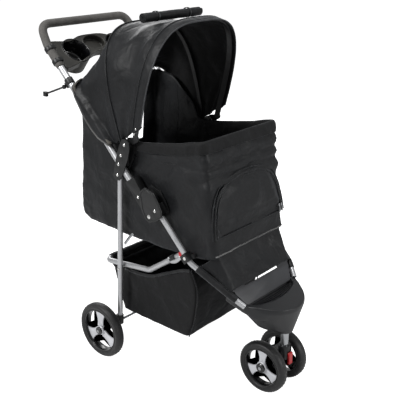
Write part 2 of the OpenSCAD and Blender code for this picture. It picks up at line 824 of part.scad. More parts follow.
module nose_tray() {
    y0 = front_axle_y;
    color([0.2, 0.2, 0.21]) difference() {
        union() {
            hull() {
                nose_slice(304, flange_half + 10, y0 + 58, y0 - 4);
                nose_slice(262, flange_half - 22, y0 + 44, y0 - 77);
                nose_slice(228, flange_half - 46, y0 + 20, y0 - 68);
            }
            hull() {
                nose_slice(228, flange_half - 46, y0 + 20, y0 - 68);
                nose_slice(nose_bottom, 26, y0 - 4, y0 - 60);
            }
        }
        translate([0, y0 + 70, 352]) rotate([-50, 0, 0]) cube([400, 60, 90], center = true);
        translate([0, y0 - 22, 292]) rotate([8, 0, 0]) cylinder(r = 62, h = 60, $fn = 72);
        translate([0, stem_y, nose_bottom - 10]) cylinder(d = stem_d + 0.1, h = 42, $fn = 48);
        for (side = [0, 1]) mirror([side, 0, 0]) {
            bent_bar([strut_path[1], strut_path[2], strut_path[3]], [0, 60, 0], leg_d + 0.2);
        }
    }
}

module foot_panel() {
    t = 3;
    top = [cabin_front - 4, floor_h - 8];
    low = [flange_at[0] + 2, flange_at[1] + leg_r + 2];
    half_top = cabin_half - 2;
    half_low = flange_half - 2;
    color([0.15, 0.15, 0.16]) hull() {
        cross_bar(top, -half_top, half_top, t);
        cross_bar(low, -half_low, half_low, t);
    }
}

// ---------------------------------------------------------------- caster
module fork_stem() {
    color("silver") translate([0, stem_y, stem_bottom]) cylinder(d = stem_d, h = nose_bottom + 30 - stem_bottom, $fn = 48);
}

module caster_housing() {
    arm_half = front_track / 2 - tyre_w / 2 - 2;
    color([0.1, 0.1, 0.1]) difference() {
        union() {
            translate([0, stem_y, stem_bottom - 22]) cylinder(d = stem_d + 12, h = 40, $fn = 48);
            hull() {
                translate([-arm_half + 8, stem_y + 6, stem_bottom - 22]) cube([2 * (arm_half - 8), 24, 26]);
                cross_bar([front_axle_y, front_r], -arm_half + 2, arm_half - 2, front_axle_d + 14);
            }
        }
        translate([0, stem_y, stem_bottom - 1]) cylinder(d = stem_d + 2 * run_gap, h = 60, $fn = 48);
        cross_bar([front_axle_y, front_r], -60, 60, front_axle_d + 0.1);
    }
}

module front_axle() {
    reach = front_track / 2 + tyre_w / 2 + 3;
    color("silver") cross_bar([front_axle_y, front_r], -reach, reach, front_axle_d);
}

module swivel_lock() {
    p = [stem_y - stem_d / 2 - 6 - side_gap, stem_bottom - 2];
    color("red") translate([-8, p[0] - 6, p[1] - 34]) cube([16, 6, 36]);
}

// ---------------------------------------------------------------- hook on the right arm
hook_s = 452;
hook_l = 88;

module hook_clip() {
    color([0.08, 0.08, 0.08]) translate(at_x(half_w, on_arm(hook_s))) rotate([arm_slope - 90, 0, 0]) difference() {
        union() {
            cylinder(d = arm_d + 6, h = 18, center = true);
            translate([-4, 6, -9]) cube([8, 14, 18]);
        }
        cylinder(d = arm_d + 0.1, h = 20, center = true);
    }
}

module hook_arm() {
    start = on_arm(hook_s, -arm_r - 14);
    end = start + hook_l * [cos(-20), sin(-20)];
    color([0.08, 0.08, 0.08]) {
        cross_bar(start, half_w + 4 + side_gap, half_w + 10, 12);
        bar(at_x(half_w + 7, start), at_x(half_w + 7, end), 5.6);
        translate([half_w + 3, end[0] - 2, end[1] - 9]) cube([8, 14, 14]);
    }
}

in_frame() handle_tube();
in_frame() foam_grip();
in_frame() parent_tray();
both_sides() tray_clamps();
on_side(LEFT) side_bracket();  // side_bracket_left
on_side(RIGHT) side_bracket();  // side_bracket_right
both_sides() bracket_rivets();
on_side(LEFT) upper_lock();  // upper_lock_left
on_side(RIGHT) upper_lock();  // upper_lock_right
on_side(RIGHT) hook_clip();
on_side(LEFT) front_strut();  // front_strut_left
on_side(RIGHT) front_strut();  // front_strut_right
on_side(LEFT) lower_lock();  // lower_lock_left
on_side(RIGHT) lower_lock();  // lower_lock_right
both_sides() lock_rivets();
both_sides() strut_blocks();
both_sides() strut_caps();
in_frame() floor_frame();
in_frame() floor_cushion();
in_frame() cabin_body();
in_frame() nose_tray();
in_frame() foot_panel();
in_frame() fork_stem();
on_side(LEFT) lock_latch();  // lock_latch_left
on_side(RIGHT) lock_latch();  // lock_latch_right
in_frame() front_door();
in_frame() door_zip_pulls();
in_frame() front_bow();
in_frame() mid_bow();
in_frame() hood_fabric();
in_frame() rolled_flap();
on_side(LEFT) rear_leg();  // rear_leg_left
on_side(RIGHT) rear_leg();  // rear_leg_right
both_sides() axle_mounts();
in_frame() rear_axle();
both_sides() leg_pins();
on_side(LEFT) brake_pedal();  // brake_pedal_left
on_side(RIGHT) brake_pedal();  // brake_pedal_right
on_side(LEFT) rear_hub() tyre(rear_r, tyre_w);  // rear_tyre_left
on_side(LEFT) rear_hub() rim(rear_r, tyre_w, rear_axle_d);  // rear_rim_left
on_side(LEFT) rear_hub() cover(rear_r, tyre_w, rear_axle_d);  // rear_cover_left
on_side(RIGHT) rear_hub() tyre(rear_r, tyre_w);  // rear_tyre_right
on_side(RIGHT) rear_hub() rim(rear_r, tyre_w, rear_axle_d);  // rear_rim_right
on_side(RIGHT) rear_hub() cover(rear_r, tyre_w, rear_axle_d);  // rear_cover_right
in_frame() basket_tube();
both_sides() basket_clips();
in_frame() basket_body();
in_frame() basket_sleeve();
both_sides() link_caps();
in_frame() caster_housing();
in_frame() front_axle();
in_frame() swivel_lock();
on_side(LEFT) front_hub() tyre(front_r, tyre_w);  // front_tyre_left
on_side(LEFT) front_hub() rim(front_r, tyre_w, front_axle_d);  // front_rim_left
on_side(LEFT) front_hub() cover(front_r, tyre_w, front_axle_d);  // front_cover_left
on_side(RIGHT) front_hub() tyre(front_r, tyre_w);  // front_tyre_right
on_side(RIGHT) front_hub() rim(front_r, tyre_w, front_axle_d);  // front_rim_right
on_side(RIGHT) front_hub() cover(front_r, tyre_w, front_axle_d);  // front_cover_right
on_side(RIGHT) hook_arm();
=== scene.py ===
"""Looks of a folding three-wheel pet stroller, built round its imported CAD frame."""

import json
import logging
from collections.abc import Callable, Iterable, Sequence
from dataclasses import dataclass, field
from enum import Enum
from math import atan2, copysign, cos, exp, hypot, pi, radians, sin, sqrt, tan

import bmesh
import bpy
from mathutils import Matrix, Vector, noise

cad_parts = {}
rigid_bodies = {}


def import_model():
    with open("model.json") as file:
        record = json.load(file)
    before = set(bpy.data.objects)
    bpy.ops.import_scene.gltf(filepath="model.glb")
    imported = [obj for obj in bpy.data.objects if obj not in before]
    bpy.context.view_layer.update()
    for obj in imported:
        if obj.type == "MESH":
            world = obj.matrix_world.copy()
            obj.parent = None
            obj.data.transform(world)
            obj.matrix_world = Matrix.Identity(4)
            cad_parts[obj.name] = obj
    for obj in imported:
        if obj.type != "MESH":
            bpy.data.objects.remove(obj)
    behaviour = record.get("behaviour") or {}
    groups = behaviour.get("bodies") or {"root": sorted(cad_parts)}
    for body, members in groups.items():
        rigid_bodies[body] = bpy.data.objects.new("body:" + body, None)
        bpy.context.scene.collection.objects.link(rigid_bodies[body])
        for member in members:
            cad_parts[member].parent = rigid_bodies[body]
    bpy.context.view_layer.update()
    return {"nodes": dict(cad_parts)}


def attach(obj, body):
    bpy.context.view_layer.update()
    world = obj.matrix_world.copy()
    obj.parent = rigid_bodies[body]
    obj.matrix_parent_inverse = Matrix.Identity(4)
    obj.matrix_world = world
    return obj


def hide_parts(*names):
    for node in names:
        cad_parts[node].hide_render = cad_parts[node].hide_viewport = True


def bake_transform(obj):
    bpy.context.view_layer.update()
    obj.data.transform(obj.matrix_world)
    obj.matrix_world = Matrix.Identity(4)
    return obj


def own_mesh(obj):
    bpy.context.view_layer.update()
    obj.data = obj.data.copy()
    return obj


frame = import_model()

LOG = logging.getLogger("stroller")
MM = 0.001
# The frame's origin lies this far ahead of the rear axle, in millimetres.
AXLE_SHIFT = 148.875
LEFT, RIGHT = 1.0, -1.0
# Bands in a metre that the wave texture draws at a scale of 1.
WAVE_BANDS = 3.183
Point3 = tuple[float, float, float]
Line = Sequence[tuple[float, float]]
UP = Vector((0, 0, 1))
Piece, Tree, Node, Socket = bpy.types.Object, bpy.types.NodeTree, bpy.types.Node, bpy.types.NodeSocket


# --------------------------------------------------------------------------- places and colours


def at(x: float, y: float, z: float) -> Vector:
    """A place in the row frame, in metres, from millimetres measured from the rear axle."""
    return Vector((x, y + AXLE_SHIFT, z)) * MM


def linear(colour: str) -> tuple[float, float, float, float]:
    """Turns an sRGB hex colour such as "#1c1d1e" into linear RGBA."""
    parts = [int(colour[i : i + 2], 16) / 255 for i in (1, 3, 5)]
    red, green, blue = (c / 12.92 if c <= 0.04045 else ((c + 0.055) / 1.055) ** 2.4 for c in parts)
    return red, green, blue, 1.0


def mix(a: float, b: float, share: float) -> float:
    """The number that lies the given share of the way from a to b."""
    return a + (b - a) * share


def smooth(value: float, low: float, high: float) -> float:
    """0 below low, 1 above high and a smooth step between."""
    share = min(max((value - low) / (high - low), 0.0), 1.0)
    return share * share * (3 - 2 * share)


def along(points: Line, x: float) -> float:
    """Reads y at x from a list of (x, y) places, straight between them.

    Args:
        points: Places in rising order of x.
        x: Where to read.

    Returns:
        The value, held level past both ends.
    """
    if x <= points[0][0]:
        return points[0][1]
    for (x0, y0), (x1, y1) in zip(points, points[1:]):
        if x <= x1:
            return mix(y0, y1, (x - x0) / (x1 - x0))
    return points[-1][1]


# --------------------------------------------------------------------------- materials


def feed(tree: Tree, node: Node, sockets: dict) -> None:
    """Fills a node's inputs, by name or index: a value is set, and a socket or a node's first output is linked."""
    for name, value in sockets.items():
        if isinstance(value, (Node, Socket)):
            tree.links.new(value.outputs[0] if isinstance(value, Node) else value, node.inputs[name])
        else:
            node.inputs[name].default_value = value


def put(tree: Tree, kind: str, sockets: dict | None = None, **settings: object) -> Node:
    """Adds one node, sets its properties and fills or links its inputs.

    Args:
        tree: The node tree.
        kind: The node's type name, where a shader node's goes without its first word.
        sockets: Inputs by name or index, as feed takes them.
        settings: Properties of the node, by name.

    Returns:
        The new node.
    """
    plain = kind.startswith(("Geometry", "Function", "NodeGroup"))
    node = tree.nodes.new(kind if plain else f"ShaderNode{kind}")
    for name, value in settings.items():
        setattr(node, name, value)
    feed(tree, node, sockets or {})
    return node


def ramp(tree: Tree, factor: Node | Socket, stops: Sequence[tuple[float, object]]) -> Socket:
    """Adds a colour ramp.

    Args:
        tree: The material's node tree.
        factor: What the ramp reads.
        stops: Places from 0 to 1, each with a grey or a linear colour.

    Returns:
        The ramp's colour socket.
    """
    node = put(tree, "ValToRGB", {"Fac": factor})
    ends = node.color_ramp.elements
    while len(ends) < len(stops):
        ends.new(0.5)
    for element, (place, colour) in zip(ends, stops):
        element.position = place
        element.color = colour if isinstance(colour, tuple) else (colour, colour, colour, 1)
    return node.outputs["Color"]


class Coords(Enum):
    """Which coordinates a pattern follows."""

    OBJECT = "Object"
    CLOTH = "UV"


@dataclass(frozen=True)
class Finish:
    """What all finishes share: a name, a colour and the shader's own constants."""

    name: str
    colour: str
    roughness: float = 0.5
    metallic: float = 0.0

    def start(self) -> tuple[Tree, Node]:
        """Makes the material and returns its tree and its shader."""
        material = bpy.data.materials.new(self.name)
        material.use_nodes = True
        tree = material.node_tree
        shader = tree.nodes["Principled BSDF"]
        plain = {"Base Color": linear(self.colour), "Roughness": self.roughness, "Metallic": self.metallic}
        feed(tree, shader, plain)
        return tree, shader

    def dress(self, tree: Tree, shader: Node) -> None:
        """Adds the finish's own pattern; the plain finish has a faint mottling."""
        where = put(tree, "TexCoord").outputs["Object"]
        spots = put(tree, "TexNoise", {"Vector": where, "Scale": 60.0, "Detail": 4.0})
        feed(tree, shader, {"Base Color": shade(tree, spots, self.colour, 0.9, 1.08)})

    @property
    def material(self) -> bpy.types.Material:
        """The material, made at its first use."""
        if self.name not in bpy.data.materials:
            self.dress(*self.start())
        return bpy.data.materials[self.name]


def shade(tree: Tree, factor: Node | Socket, colour: str, dark: float, light: float) -> Socket:
    """Varies a colour from dark to light times its brightness, as factor goes from 0.3 to 0.7."""
    red, green, blue, _ = linear(colour)
    low = (red * dark, green * dark, blue * dark, 1.0)
    high = (min(red * light, 1), min(green * light, 1), min(blue * light, 1), 1.0)
    return ramp(tree, factor, [(0.3, low), (0.7, high)])


@dataclass(frozen=True)
class WovenPolyester(Finish):
    """Plain-woven polyester. Its thread is 0.5 mm, drawn at 1.5 mm so that it shows; it has a soft sheen."""

    thread_mm: float = 1.5
    sheen: float = 0.1
    relief: float = 0.35
    coords: Coords = Coords.CLOTH

    def dress(self, tree: Tree, shader: Node) -> None:
        """Adds crossing threads, broad tone changes, fine lint and shallow rumples."""
        places = put(tree, "TexCoord")
        where = places.outputs[self.coords.value]
        solid = places.outputs["Object"]
        bands = {"Vector": where, "Scale": 1 / (self.thread_mm * MM * 2) / WAVE_BANDS, "Distortion": 0.6}
        warp = put(tree, "TexWave", bands, bands_direction="X")
        weft = put(tree, "TexWave", bands, bands_direction="Y")
        weave = put(tree, "Math", {0: warp.outputs["Fac"], 1: weft.outputs["Fac"]}, operation="MAXIMUM")
        broad = put(tree, "TexNoise", {"Vector": solid, "Scale": 9.0, "Detail": 6.0, "Roughness": 0.6})
        lint = put(tree, "TexNoise", {"Vector": solid, "Scale": 900.0, "Detail": 2.0})
        rumple = put(tree, "TexNoise", {"Vector": solid, "Scale": 20.0, "Detail": 2.5, "Distortion": 0.5})
        tone = put(tree, "Math", {0: lint, 1: 0.35, 2: -0.17}, operation="MULTIPLY_ADD")
        tone = put(tree, "Math", {0: tone, 1: broad}, operation="ADD")
        base = shade(tree, tone, self.colour, 0.62, 1.45)
        gloss = ramp(tree, broad, [(0.3, self.roughness - 0.08), (0.7, self.roughness + 0.08)])
        threads = put(tree, "Bump", {"Height": weave, "Strength": self.relief, "Distance": 0.0002})
        folds = put(tree, "Bump", {"Height": rumple, "Strength": 0.6, "Distance": 0.01, "Normal": threads})
        feed(tree, shader, {"Base Color": base, "Roughness": gloss, "Normal": folds, "Specular IOR Level": 0.3})
        feed(tree, shader, {"Sheen Weight": self.sheen, "Sheen Roughness": 0.45, "Sheen Tint": linear("#c9cdd4")})


@dataclass(frozen=True)
class MouldedPlastic(Finish):
    """Injection-moulded ABS or nylon: a fine spark-eroded grain, drawn at 0.6 mm, and slight tone changes."""

    grain_mm: float = 0.6
    relief: float = 0.12
    coat: float = 0.0

    def dress(self, tree: Tree, shader: Node) -> None:
        """Adds the grain, faint flow marks and roughness changes."""
        where = put(tree, "TexCoord").outputs["Object"]
        flow = put(tree, "TexNoise", {"Vector": where, "Scale": 14.0, "Detail": 5.0})
        grain = put(tree, "TexNoise", {"Vector": where, "Scale": 1 / (self.grain_mm * MM), "Detail": 1.0})
        base = shade(tree, flow, self.colour, 0.85, 1.15)
        gloss = ramp(tree, flow, [(0.3, max(self.roughness - 0.05, 0.03)), (0.7, self.roughness + 0.06)])
        bump = put(tree, "Bump", {"Height": grain, "Strength": self.relief, "Distance": 0.0002})
        feed(
            tree, shader,
            {"Base Color": base, "Roughness": gloss, "Normal": bump, "Coat Weight": self.coat, "Coat Roughness": 0.12}
        )


@dataclass(frozen=True)
class PaintedTube(Finish):
    """Silver powder-painted steel tube: fine metal flake and a slight orange peel."""

    flake_mm: float = 0.7

    def dress(self, tree: Tree, shader: Node) -> None:
        """Adds flakes, orange peel and a few duller rubbed places."""
        where = put(tree, "TexCoord").outputs["Object"]
        flake = put(tree, "TexVoronoi", {"Vector": where, "Scale": 1 / (self.flake_mm * MM)})
        rubbed = put(tree, "TexNoise", {"Vector": where, "Scale": 22.0, "Detail": 6.0})
        peel = put(tree, "TexNoise", {"Vector": where, "Scale": 500.0})
        base = shade(tree, flake.outputs["Color"], self.colour, 0.88, 1.06)
        gloss = ramp(tree, rubbed, [(0.35, self.roughness - 0.06), (0.7, self.roughness + 0.12)])
        bump = put(tree, "Bump", {"Height": peel, "Strength": 0.08, "Distance": 0.0003})
        feed(tree, shader, {"Base Color": base, "Roughness": gloss, "Normal": bump})


@dataclass(frozen=True)
class CellFoam(Finish):
    """EVA or nitrile foam: closed cells of about 0.4 mm, drawn at 1 mm, that give a dull bloom."""

    cell_mm: float = 1.0
    relief: float = 0.4
    dust: float = 0.0

    def dress(self, tree: Tree, shader: Node) -> None:
        """Adds cells, pale specks and scuffs."""
        where = put(tree, "TexCoord").outputs["Object"]
        cells = put(tree, "TexVoronoi", {"Vector": where, "Scale": 1 / (self.cell_mm * MM)})
        scuff = put(tree, "TexNoise", {"Vector": where, "Scale": 45.0, "Detail": 8.0, "Roughness": 0.7})
        worn = shade(tree, scuff, self.colour, 0.7, 1.35)
        specks = put(tree, "TexNoise", {"Vector": where, "Scale": 160.0, "Detail": 6.0, "Roughness": 0.75})
        dusty = ramp(tree, specks, [(0.6, 0.0), (0.72, self.dust * 0.5)])
        mixed = put(tree, "Mix", {"Factor": dusty, 6: worn, 7: linear("#8d8d8b")}, data_type="RGBA")
        bump = put(tree, "Bump", {"Height": cells, "Strength": self.relief, "Distance": 0.0003})
        feed(tree, shader, {"Base Color": mixed.outputs[2], "Normal": bump, "Sheen Weight": 0.12})


# Frame tubes: powder-painted steel, bright and slightly flaky.
TUBE = PaintedTube("silver_painted_steel_tube", "#c3c4c6", 0.34, 0.75)
# Axles and stem: zinc-plated steel rod, turned smooth.
ROD = PaintedTube("zinc_plated_steel_rod", "#b4b6b8", 0.25, 1.0)
# Rivets: nickel-plated steel domes.
NICKEL = PaintedTube("nickel_plated_rivet", "#e2e2e0", 0.14, 1.0, 1.5)
# Hood, cabin and basket cloth: black woven polyester with a charcoal sheen.
CLOTH = WovenPolyester("black_woven_polyester", "#101113", 0.52)
# Turned edge of the hood's lip, painted paler as a painted highlight where the edge catches the light.
CLOTH_EDGE = WovenPolyester("worn_polyester_edge", "#3a3b3d", 0.6, 0.0, 1.0, 0.4, 0.3, Coords.OBJECT)
# Inner faces of the cloth and the cabin's sole: the same polyester, painted darker as painted shade where little
# light reaches.
LINING = WovenPolyester("black_polyester_lining", "#0a0a0b", 0.75, 0.0, 1.5, 0.12)
# Seams, piping and zip tape: tighter woven polyester tape.
TAPE = WovenPolyester("black_polyester_tape", "#0c0d0e", 0.5, 0.0, 1.0, 0.3, 0.3, Coords.OBJECT)
# Hood edge: brownish-grey binding tape.
BINDING = WovenPolyester("grey_binding_tape", "#4d4a45", 0.7, 0.0, 1.0, 0.4, 0.3, Coords.OBJECT)
# Cabin's bottom edge at the front: pale piping.
PIPING = WovenPolyester("pale_grey_piping", "#6a6a69", 0.6, 0.0, 1.0, 0.3, 0.3, Coords.OBJECT)
# Floor cushion: brushed polyester over wadding.
PAD = WovenPolyester("charcoal_brushed_polyester", "#222325", 0.85, 0.0, 1.6, 0.5, 0.4, Coords.OBJECT)
# Locks, brackets, clips: glass-filled nylon, satin black.
NYLON = MouldedPlastic("black_glass_filled_nylon", "#0e0f10", 0.42)
# Nose tray: dark grey ABS with a satin mould texture.
NOSE_ABS = MouldedPlastic("dark_grey_satin_abs", "#1a1b1d", 0.38)
# Nose band: the same ABS, painted paler as a painted highlight for its slant to the light.
BAND_HIGHLIGHT_ABS = MouldedPlastic("grey_satin_abs", "#3c3d40", 0.36)
# Parent tray: charcoal ABS, a little paler than the nose.
TRAY_ABS = MouldedPlastic("charcoal_satin_abs", "#33322e", 0.45)
# Cup wells: polished ABS, which keeps one sharp highlight.
CUP_ABS = MouldedPlastic("polished_black_abs", "#0a0a0c", 0.2, 0.0, 0.6, 0.02, 0.15)
# Wheel rims: polished black nylon.
RIM_NYLON = MouldedPlastic("polished_black_nylon", "#131314", 0.22, 0.0, 0.8, 0.04, 0.3)
# Spoke covers: silver-painted ABS, nearly white.
COVER_ABS = MouldedPlastic("silver_painted_abs", "#d3d4d8", 0.32, 0.15, 0.5, 0.03, 0.3)
# Strut caps: white polythene.
WHITE_PE = MouldedPlastic("white_polythene", "#d8d8d4", 0.5)
# Lever and link caps: bright red nylon.
RED_NYLON = MouldedPlastic("signal_red_nylon", "#c8161c", 0.35, 0.0, 0.6, 0.05, 0.2)
# Grip: charcoal nitrile foam.
GRIP_FOAM = CellFoam("charcoal_nitrile_foam", "#5b5956", 0.8)
# Tyres: moulded EVA, matte with pale scuffs.
TYRE_EVA = CellFoam("black_moulded_eva", "#0c0c0d", 0.5, 0.0, 1.4, 0.2, 1.0)


# --------------------------------------------------------------------------- meshes


def placed(name: str, data: bpy.types.ID) -> Piece:
    """Makes an object from its data and links it to the scene."""
    obj = bpy.data.objects.new(name, data)
    bpy.context.scene.collection.objects.link(obj)
    return obj


def new_object(name: str, verts: Sequence[Vector], faces: Sequence[Sequence[int]], finish: Finish) -> Piece:
    """Makes a smooth-shaded mesh object at the origin, with its place in its mesh.

    Args:
        name: The piece's name.
        verts: Places in the row frame, in metres.
        faces: Vertex numbers of each face.
        finish: What it is dressed in.

    Returns:
        The object, linked to the scene.
    """
    mesh = bpy.data.meshes.new(name)
    mesh.from_pydata([tuple(v) for v in verts], [], [tuple(f) for f in faces])
    mesh.materials.append(finish.material)
    mesh.shade_smooth()
    return placed(name, mesh)


def fit(obj: Piece, slot: str, body: str, *nodes: str) -> Piece:
    """Gives a finished piece its place in the model.

    Args:
        obj: The piece.
        slot: Not used.
        body: The body that it rides.
        nodes: The CAD nodes that it stands for.

    Returns:
        The piece.
    """
    if nodes:
        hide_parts(*nodes)
    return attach(obj, body)


def settle(obj: Piece) -> Piece:
    """Replaces an object's mesh by what its modifiers make, and removes them."""
    graph = bpy.context.evaluated_depsgraph_get()
    graph.update()
    mesh = bpy.data.meshes.new_from_object(obj.evaluated_get(graph), depsgraph=graph)
    obj.modifiers.clear()
    obj.data = mesh
    return obj


def start_tree(name: str, **inputs: str) -> tuple[Tree, list[bpy.types.NodeTreeInterfaceSocket]]:
    """Starts a Geometry Nodes tree.

    Args:
        name: The tree's name.
        inputs: The type of each named input, such as Float.

    Returns:
        The tree and its inputs' sockets.
    """
    tree = bpy.data.node_groups.new(name, "GeometryNodeTree")
    tree.interface.new_socket("Geometry", in_out="OUTPUT", socket_type="NodeSocketGeometry")
    made = [
        tree.interface.new_socket(label, in_out="INPUT", socket_type=f"NodeSocket{kind}")
        for label, kind in inputs.items()
    ]
    return tree, made


def finish_tree(tree: Tree, copies: Node, finish: Finish) -> None:
    """Ends a Geometry Nodes tree: makes its copies real and dresses them."""
    real = put(tree, "GeometryNodeRealizeInstances", {0: copies})
    dressed = put(tree, "GeometryNodeSetMaterial", {0: real})
    dressed.inputs["Material"].default_value = finish.material
    put(tree, "NodeGroupOutput", {0: dressed})


def grow(holder: Piece, tree: Tree, inputs: dict) -> None:
    """Runs a Geometry Nodes tree on a holder with its inputs and keeps the result as its mesh."""
    made = holder.modifiers.new("nodes", "NODES")
    made.node_group = tree
    for socket, value in inputs.items():
        made[socket.identifier] = value
    settle(holder)


def modify(obj: Piece, kind: str, **settings: object) -> bpy.types.Modifier:
    """Adds a modifier with the given settings."""
    made = obj.modifiers.new(kind.lower(), kind)
    for name, value in settings.items():
        setattr(made, name, value)
    return made


def bevel(obj: Piece, edge_mm: float, segments: int = 3, degrees: float = 40.0) -> Piece:
    """Rounds every edge that is sharper than the given angle."""
    modify(obj, "BEVEL", width=edge_mm * MM, segments=segments, limit_method="ANGLE", angle_limit=radians(degrees))
    return settle(obj)


def sharpen(obj: Piece, degrees: float = 35.0) -> Piece:
    """Keeps edges sharper than the given angle crisp."""
    obj.data.shade_smooth()
    obj.data.set_sharp_from_angle(angle=radians(degrees))
    return obj


def outward(obj: Piece, merge_mm: float = 0.01) -> Piece:
    """Merges doubles and turns a closed mesh's faces outwards."""
    mesh = bmesh.new()
    mesh.from_mesh(obj.data)
    bmesh.ops.remove_doubles(mesh, verts=mesh.verts, dist=merge_mm * MM)
    bmesh.ops.recalc_face_normals(mesh, faces=mesh.faces)
    mesh.to_mesh(obj.data)
    mesh.free()
    return obj


def thicken(obj: Piece, thick_mm: float, side: float = -1.0, lining: Finish | None = None) -> Piece:
    """Gives a sheet its thickness; side -1 grows it inwards, 1 outwards and 0 both ways."""
    made = modify(obj, "SOLIDIFY", thickness=thick_mm * MM, offset=side, use_even_offset=False, use_rim=True)
    if lining:
        obj.data.materials.append(lining.material)
        made.material_offset = 1
    return settle(obj)


def subdivide(obj: Piece) -> Piece:
    """Applies one level of a subdivision surface."""
    modify(obj, "SUBSURF", levels=1, render_levels=1)
    return settle(obj)


def sheet_of(
    name: str, rows: Sequence[Sequence[Vector]], finish: Finish, closed: bool = False, flip: bool = False,
    keep: Callable[[int, int], bool] | None = None
) -> Piece:
    """Makes a sheet from rows of points, with a UV map in metres along both ways.

    Args:
        name: The piece's name.
        rows: Rows of points, all as long as the first.
        finish: What it is dressed in.
        closed: True if each row's end meets its start.
        flip: Turns the faces round.
        keep: Says of a cell, by row and column, whether it is there.

    Returns:
        The object.
    """
    high, wide = len(rows), len(rows[0])
    faces, cells = [], []
    for j in range(high - 1):
        for i in range(wide if closed else wide - 1):
            if keep and not keep(j, i):
                continue
            k = (i + 1) % wide
            face = (j * wide + i, j * wide + k, (j + 1) * wide + k, (j + 1) * wide + i)
            cell = ((j, i), (j, i + 1), (j + 1, i + 1), (j + 1, i))
            faces.append(face[::-1] if flip else face)
            cells.append(cell[::-1] if flip else cell)
    obj = new_object(name, [p for row in rows for p in row], faces, finish)
    middle = rows[high // 2]
    run = [0.0]
    for i in range(wide):
        run.append(run[-1] + (middle[(i + 1) % wide] - middle[i]).length)
    column = [row[wide // 2] for row in rows]
    rise = [0.0]
    for a, b in zip(column, column[1:]):
        rise.append(rise[-1] + (b - a).length)
    layer = obj.data.uv_layers.new(name="cloth")
    spots = [(run[i], rise[j]) for cell in cells for j, i in cell]
    layer.data.foreach_set("uv", [value for spot in spots for value in spot])
    mesh = bmesh.new()
    mesh.from_mesh(obj.data)
    bmesh.ops.delete(mesh, geom=[v for v in mesh.verts if not v.link_faces], context="VERTS")
    mesh.to_mesh(obj.data)
    mesh.free()
    return obj


def smooth_path(points: Sequence[Vector], step_mm: float = 4.0, closed: bool = False) -> list[Vector]:
    """Runs a Catmull-Rom line through the points and samples it about every step.

    Args:
        points: The places that the line passes.
        step_mm: Distance between samples.
        closed: True if the line returns to its start.

    Returns:
        The samples, without a repeat of the first on a closed line.
    """
    count = len(points)
    line: list[Vector] = []
    spans = count if closed else count - 1
    for i in range(spans):
        if closed:
            p0, p1, p2, p3 = (points[(i + k) % count] for k in (-1, 0, 1, 2))
        else:
            p1, p2 = points[i], points[i + 1]
            p0 = points[i - 1] if i else p1 * 2 - p2
            p3 = points[i + 2] if i + 2 < count else p2 * 2 - p1
        parts = max(int((p2 - p1).length / (step_mm * MM)), 1)
        for k in range(parts):
            t = k / parts
            line.append(
                0.5
                * (
                    2 * p1 + (p2 - p0) * t + (2 * p0 - 5 * p1 + 4 * p2 - p3) * t**2
                    + (3 * p1 - p0 - 3 * p2 + p3) * t**3
                )
            )
    if not closed:
        line.append(points[-1].copy())
    return line


def resample(points: Sequence[Vector], count: int) -> list[Vector]:
    """Spreads count points evenly along a line.

    Args:
        points: The line.
        count: How many places to spread on it.

    Returns:
        The places, both ends among them.
    """
    run = [0.0]
    for a, b in zip(points, points[1:]):
        run.append(run[-1] + (b - a).length)
    found, j = [], 0
    for i in range(count):
        goal = run[-1] * i / (count - 1)
        while j < len(run) - 2 and run[j + 1] < goal:
            j += 1
        gap = run[j + 1] - run[j]
        found.append(points[j].lerp(points[j + 1], (goal - run[j]) / gap if gap else 0.0))
    return found


def sweep(
    name: str, path: Sequence[Vector], section: Line, finish: Finish, up: Vector | Sequence[Vector] = UP,
    closed: bool = False, scale: Callable[[float], float] | None = None
) -> Piece:
    """Carries a closed section along a path.

    Args:
        name: The piece's name.
        path: The line to follow.
        section: Corners in millimetres, (sideways, upwards), in order round the section.
        finish: What it is dressed in.
        up: One direction for the section's upwards, or one for each point of the path.
        closed: True if the path returns to its start.
        scale: Size of the section at a share of the way along.

    Returns:
        The object, with closed ends.
    """
    count, verts = len(path), []
    for i, place in enumerate(path):
        ahead = path[(i + 1) % count] if closed or i + 1 < count else place
        behind = path[i - 1] if closed or i else place
        go = (ahead - behind).normalized()
        lift = up[i] if isinstance(up, (list, tuple)) else up
        side = go.cross(lift).normalized()
        lift = side.cross(go).normalized()
        size = scale(i / max(count - 1, 1)) if scale else 1.0
        verts += [place + (side * a + lift * b) * MM * size for a, b in section]
    ring, faces = len(section), []
    for i in range(count if closed else count - 1):
        for k in range(ring):
            n, m = (i + 1) % count, (k + 1) % ring
            faces.append((i * ring + k, i * ring + m, n * ring + m, n * ring + k))
    if not closed:
        faces.append(tuple(range(ring)))
        faces.append(tuple(range((count - 1) * ring, count * ring)))
    return outward(new_object(name, verts, faces, finish), 0.0005)


def round_section(radius_mm: float, sides: int = 12) -> list[tuple[float, float]]:
    """A circle as a section to sweep."""
    turns = [2 * pi * i / sides for i in range(sides)]
    return [(radius_mm * cos(a), radius_mm * sin(a)) for a in turns]


def tape_section(width_mm: float, thick_mm: float) -> list[tuple[float, float]]:
    """A flat tape with rounded edges as a section to sweep."""
    half, crown = width_mm / 2, thick_mm / 2
    right = [(half - crown * 0.4, -crown), (half, -crown * 0.3), (half, crown * 0.3), (half - crown * 0.4, crown)]
    return right + [(-x, -y) for x, y in right]


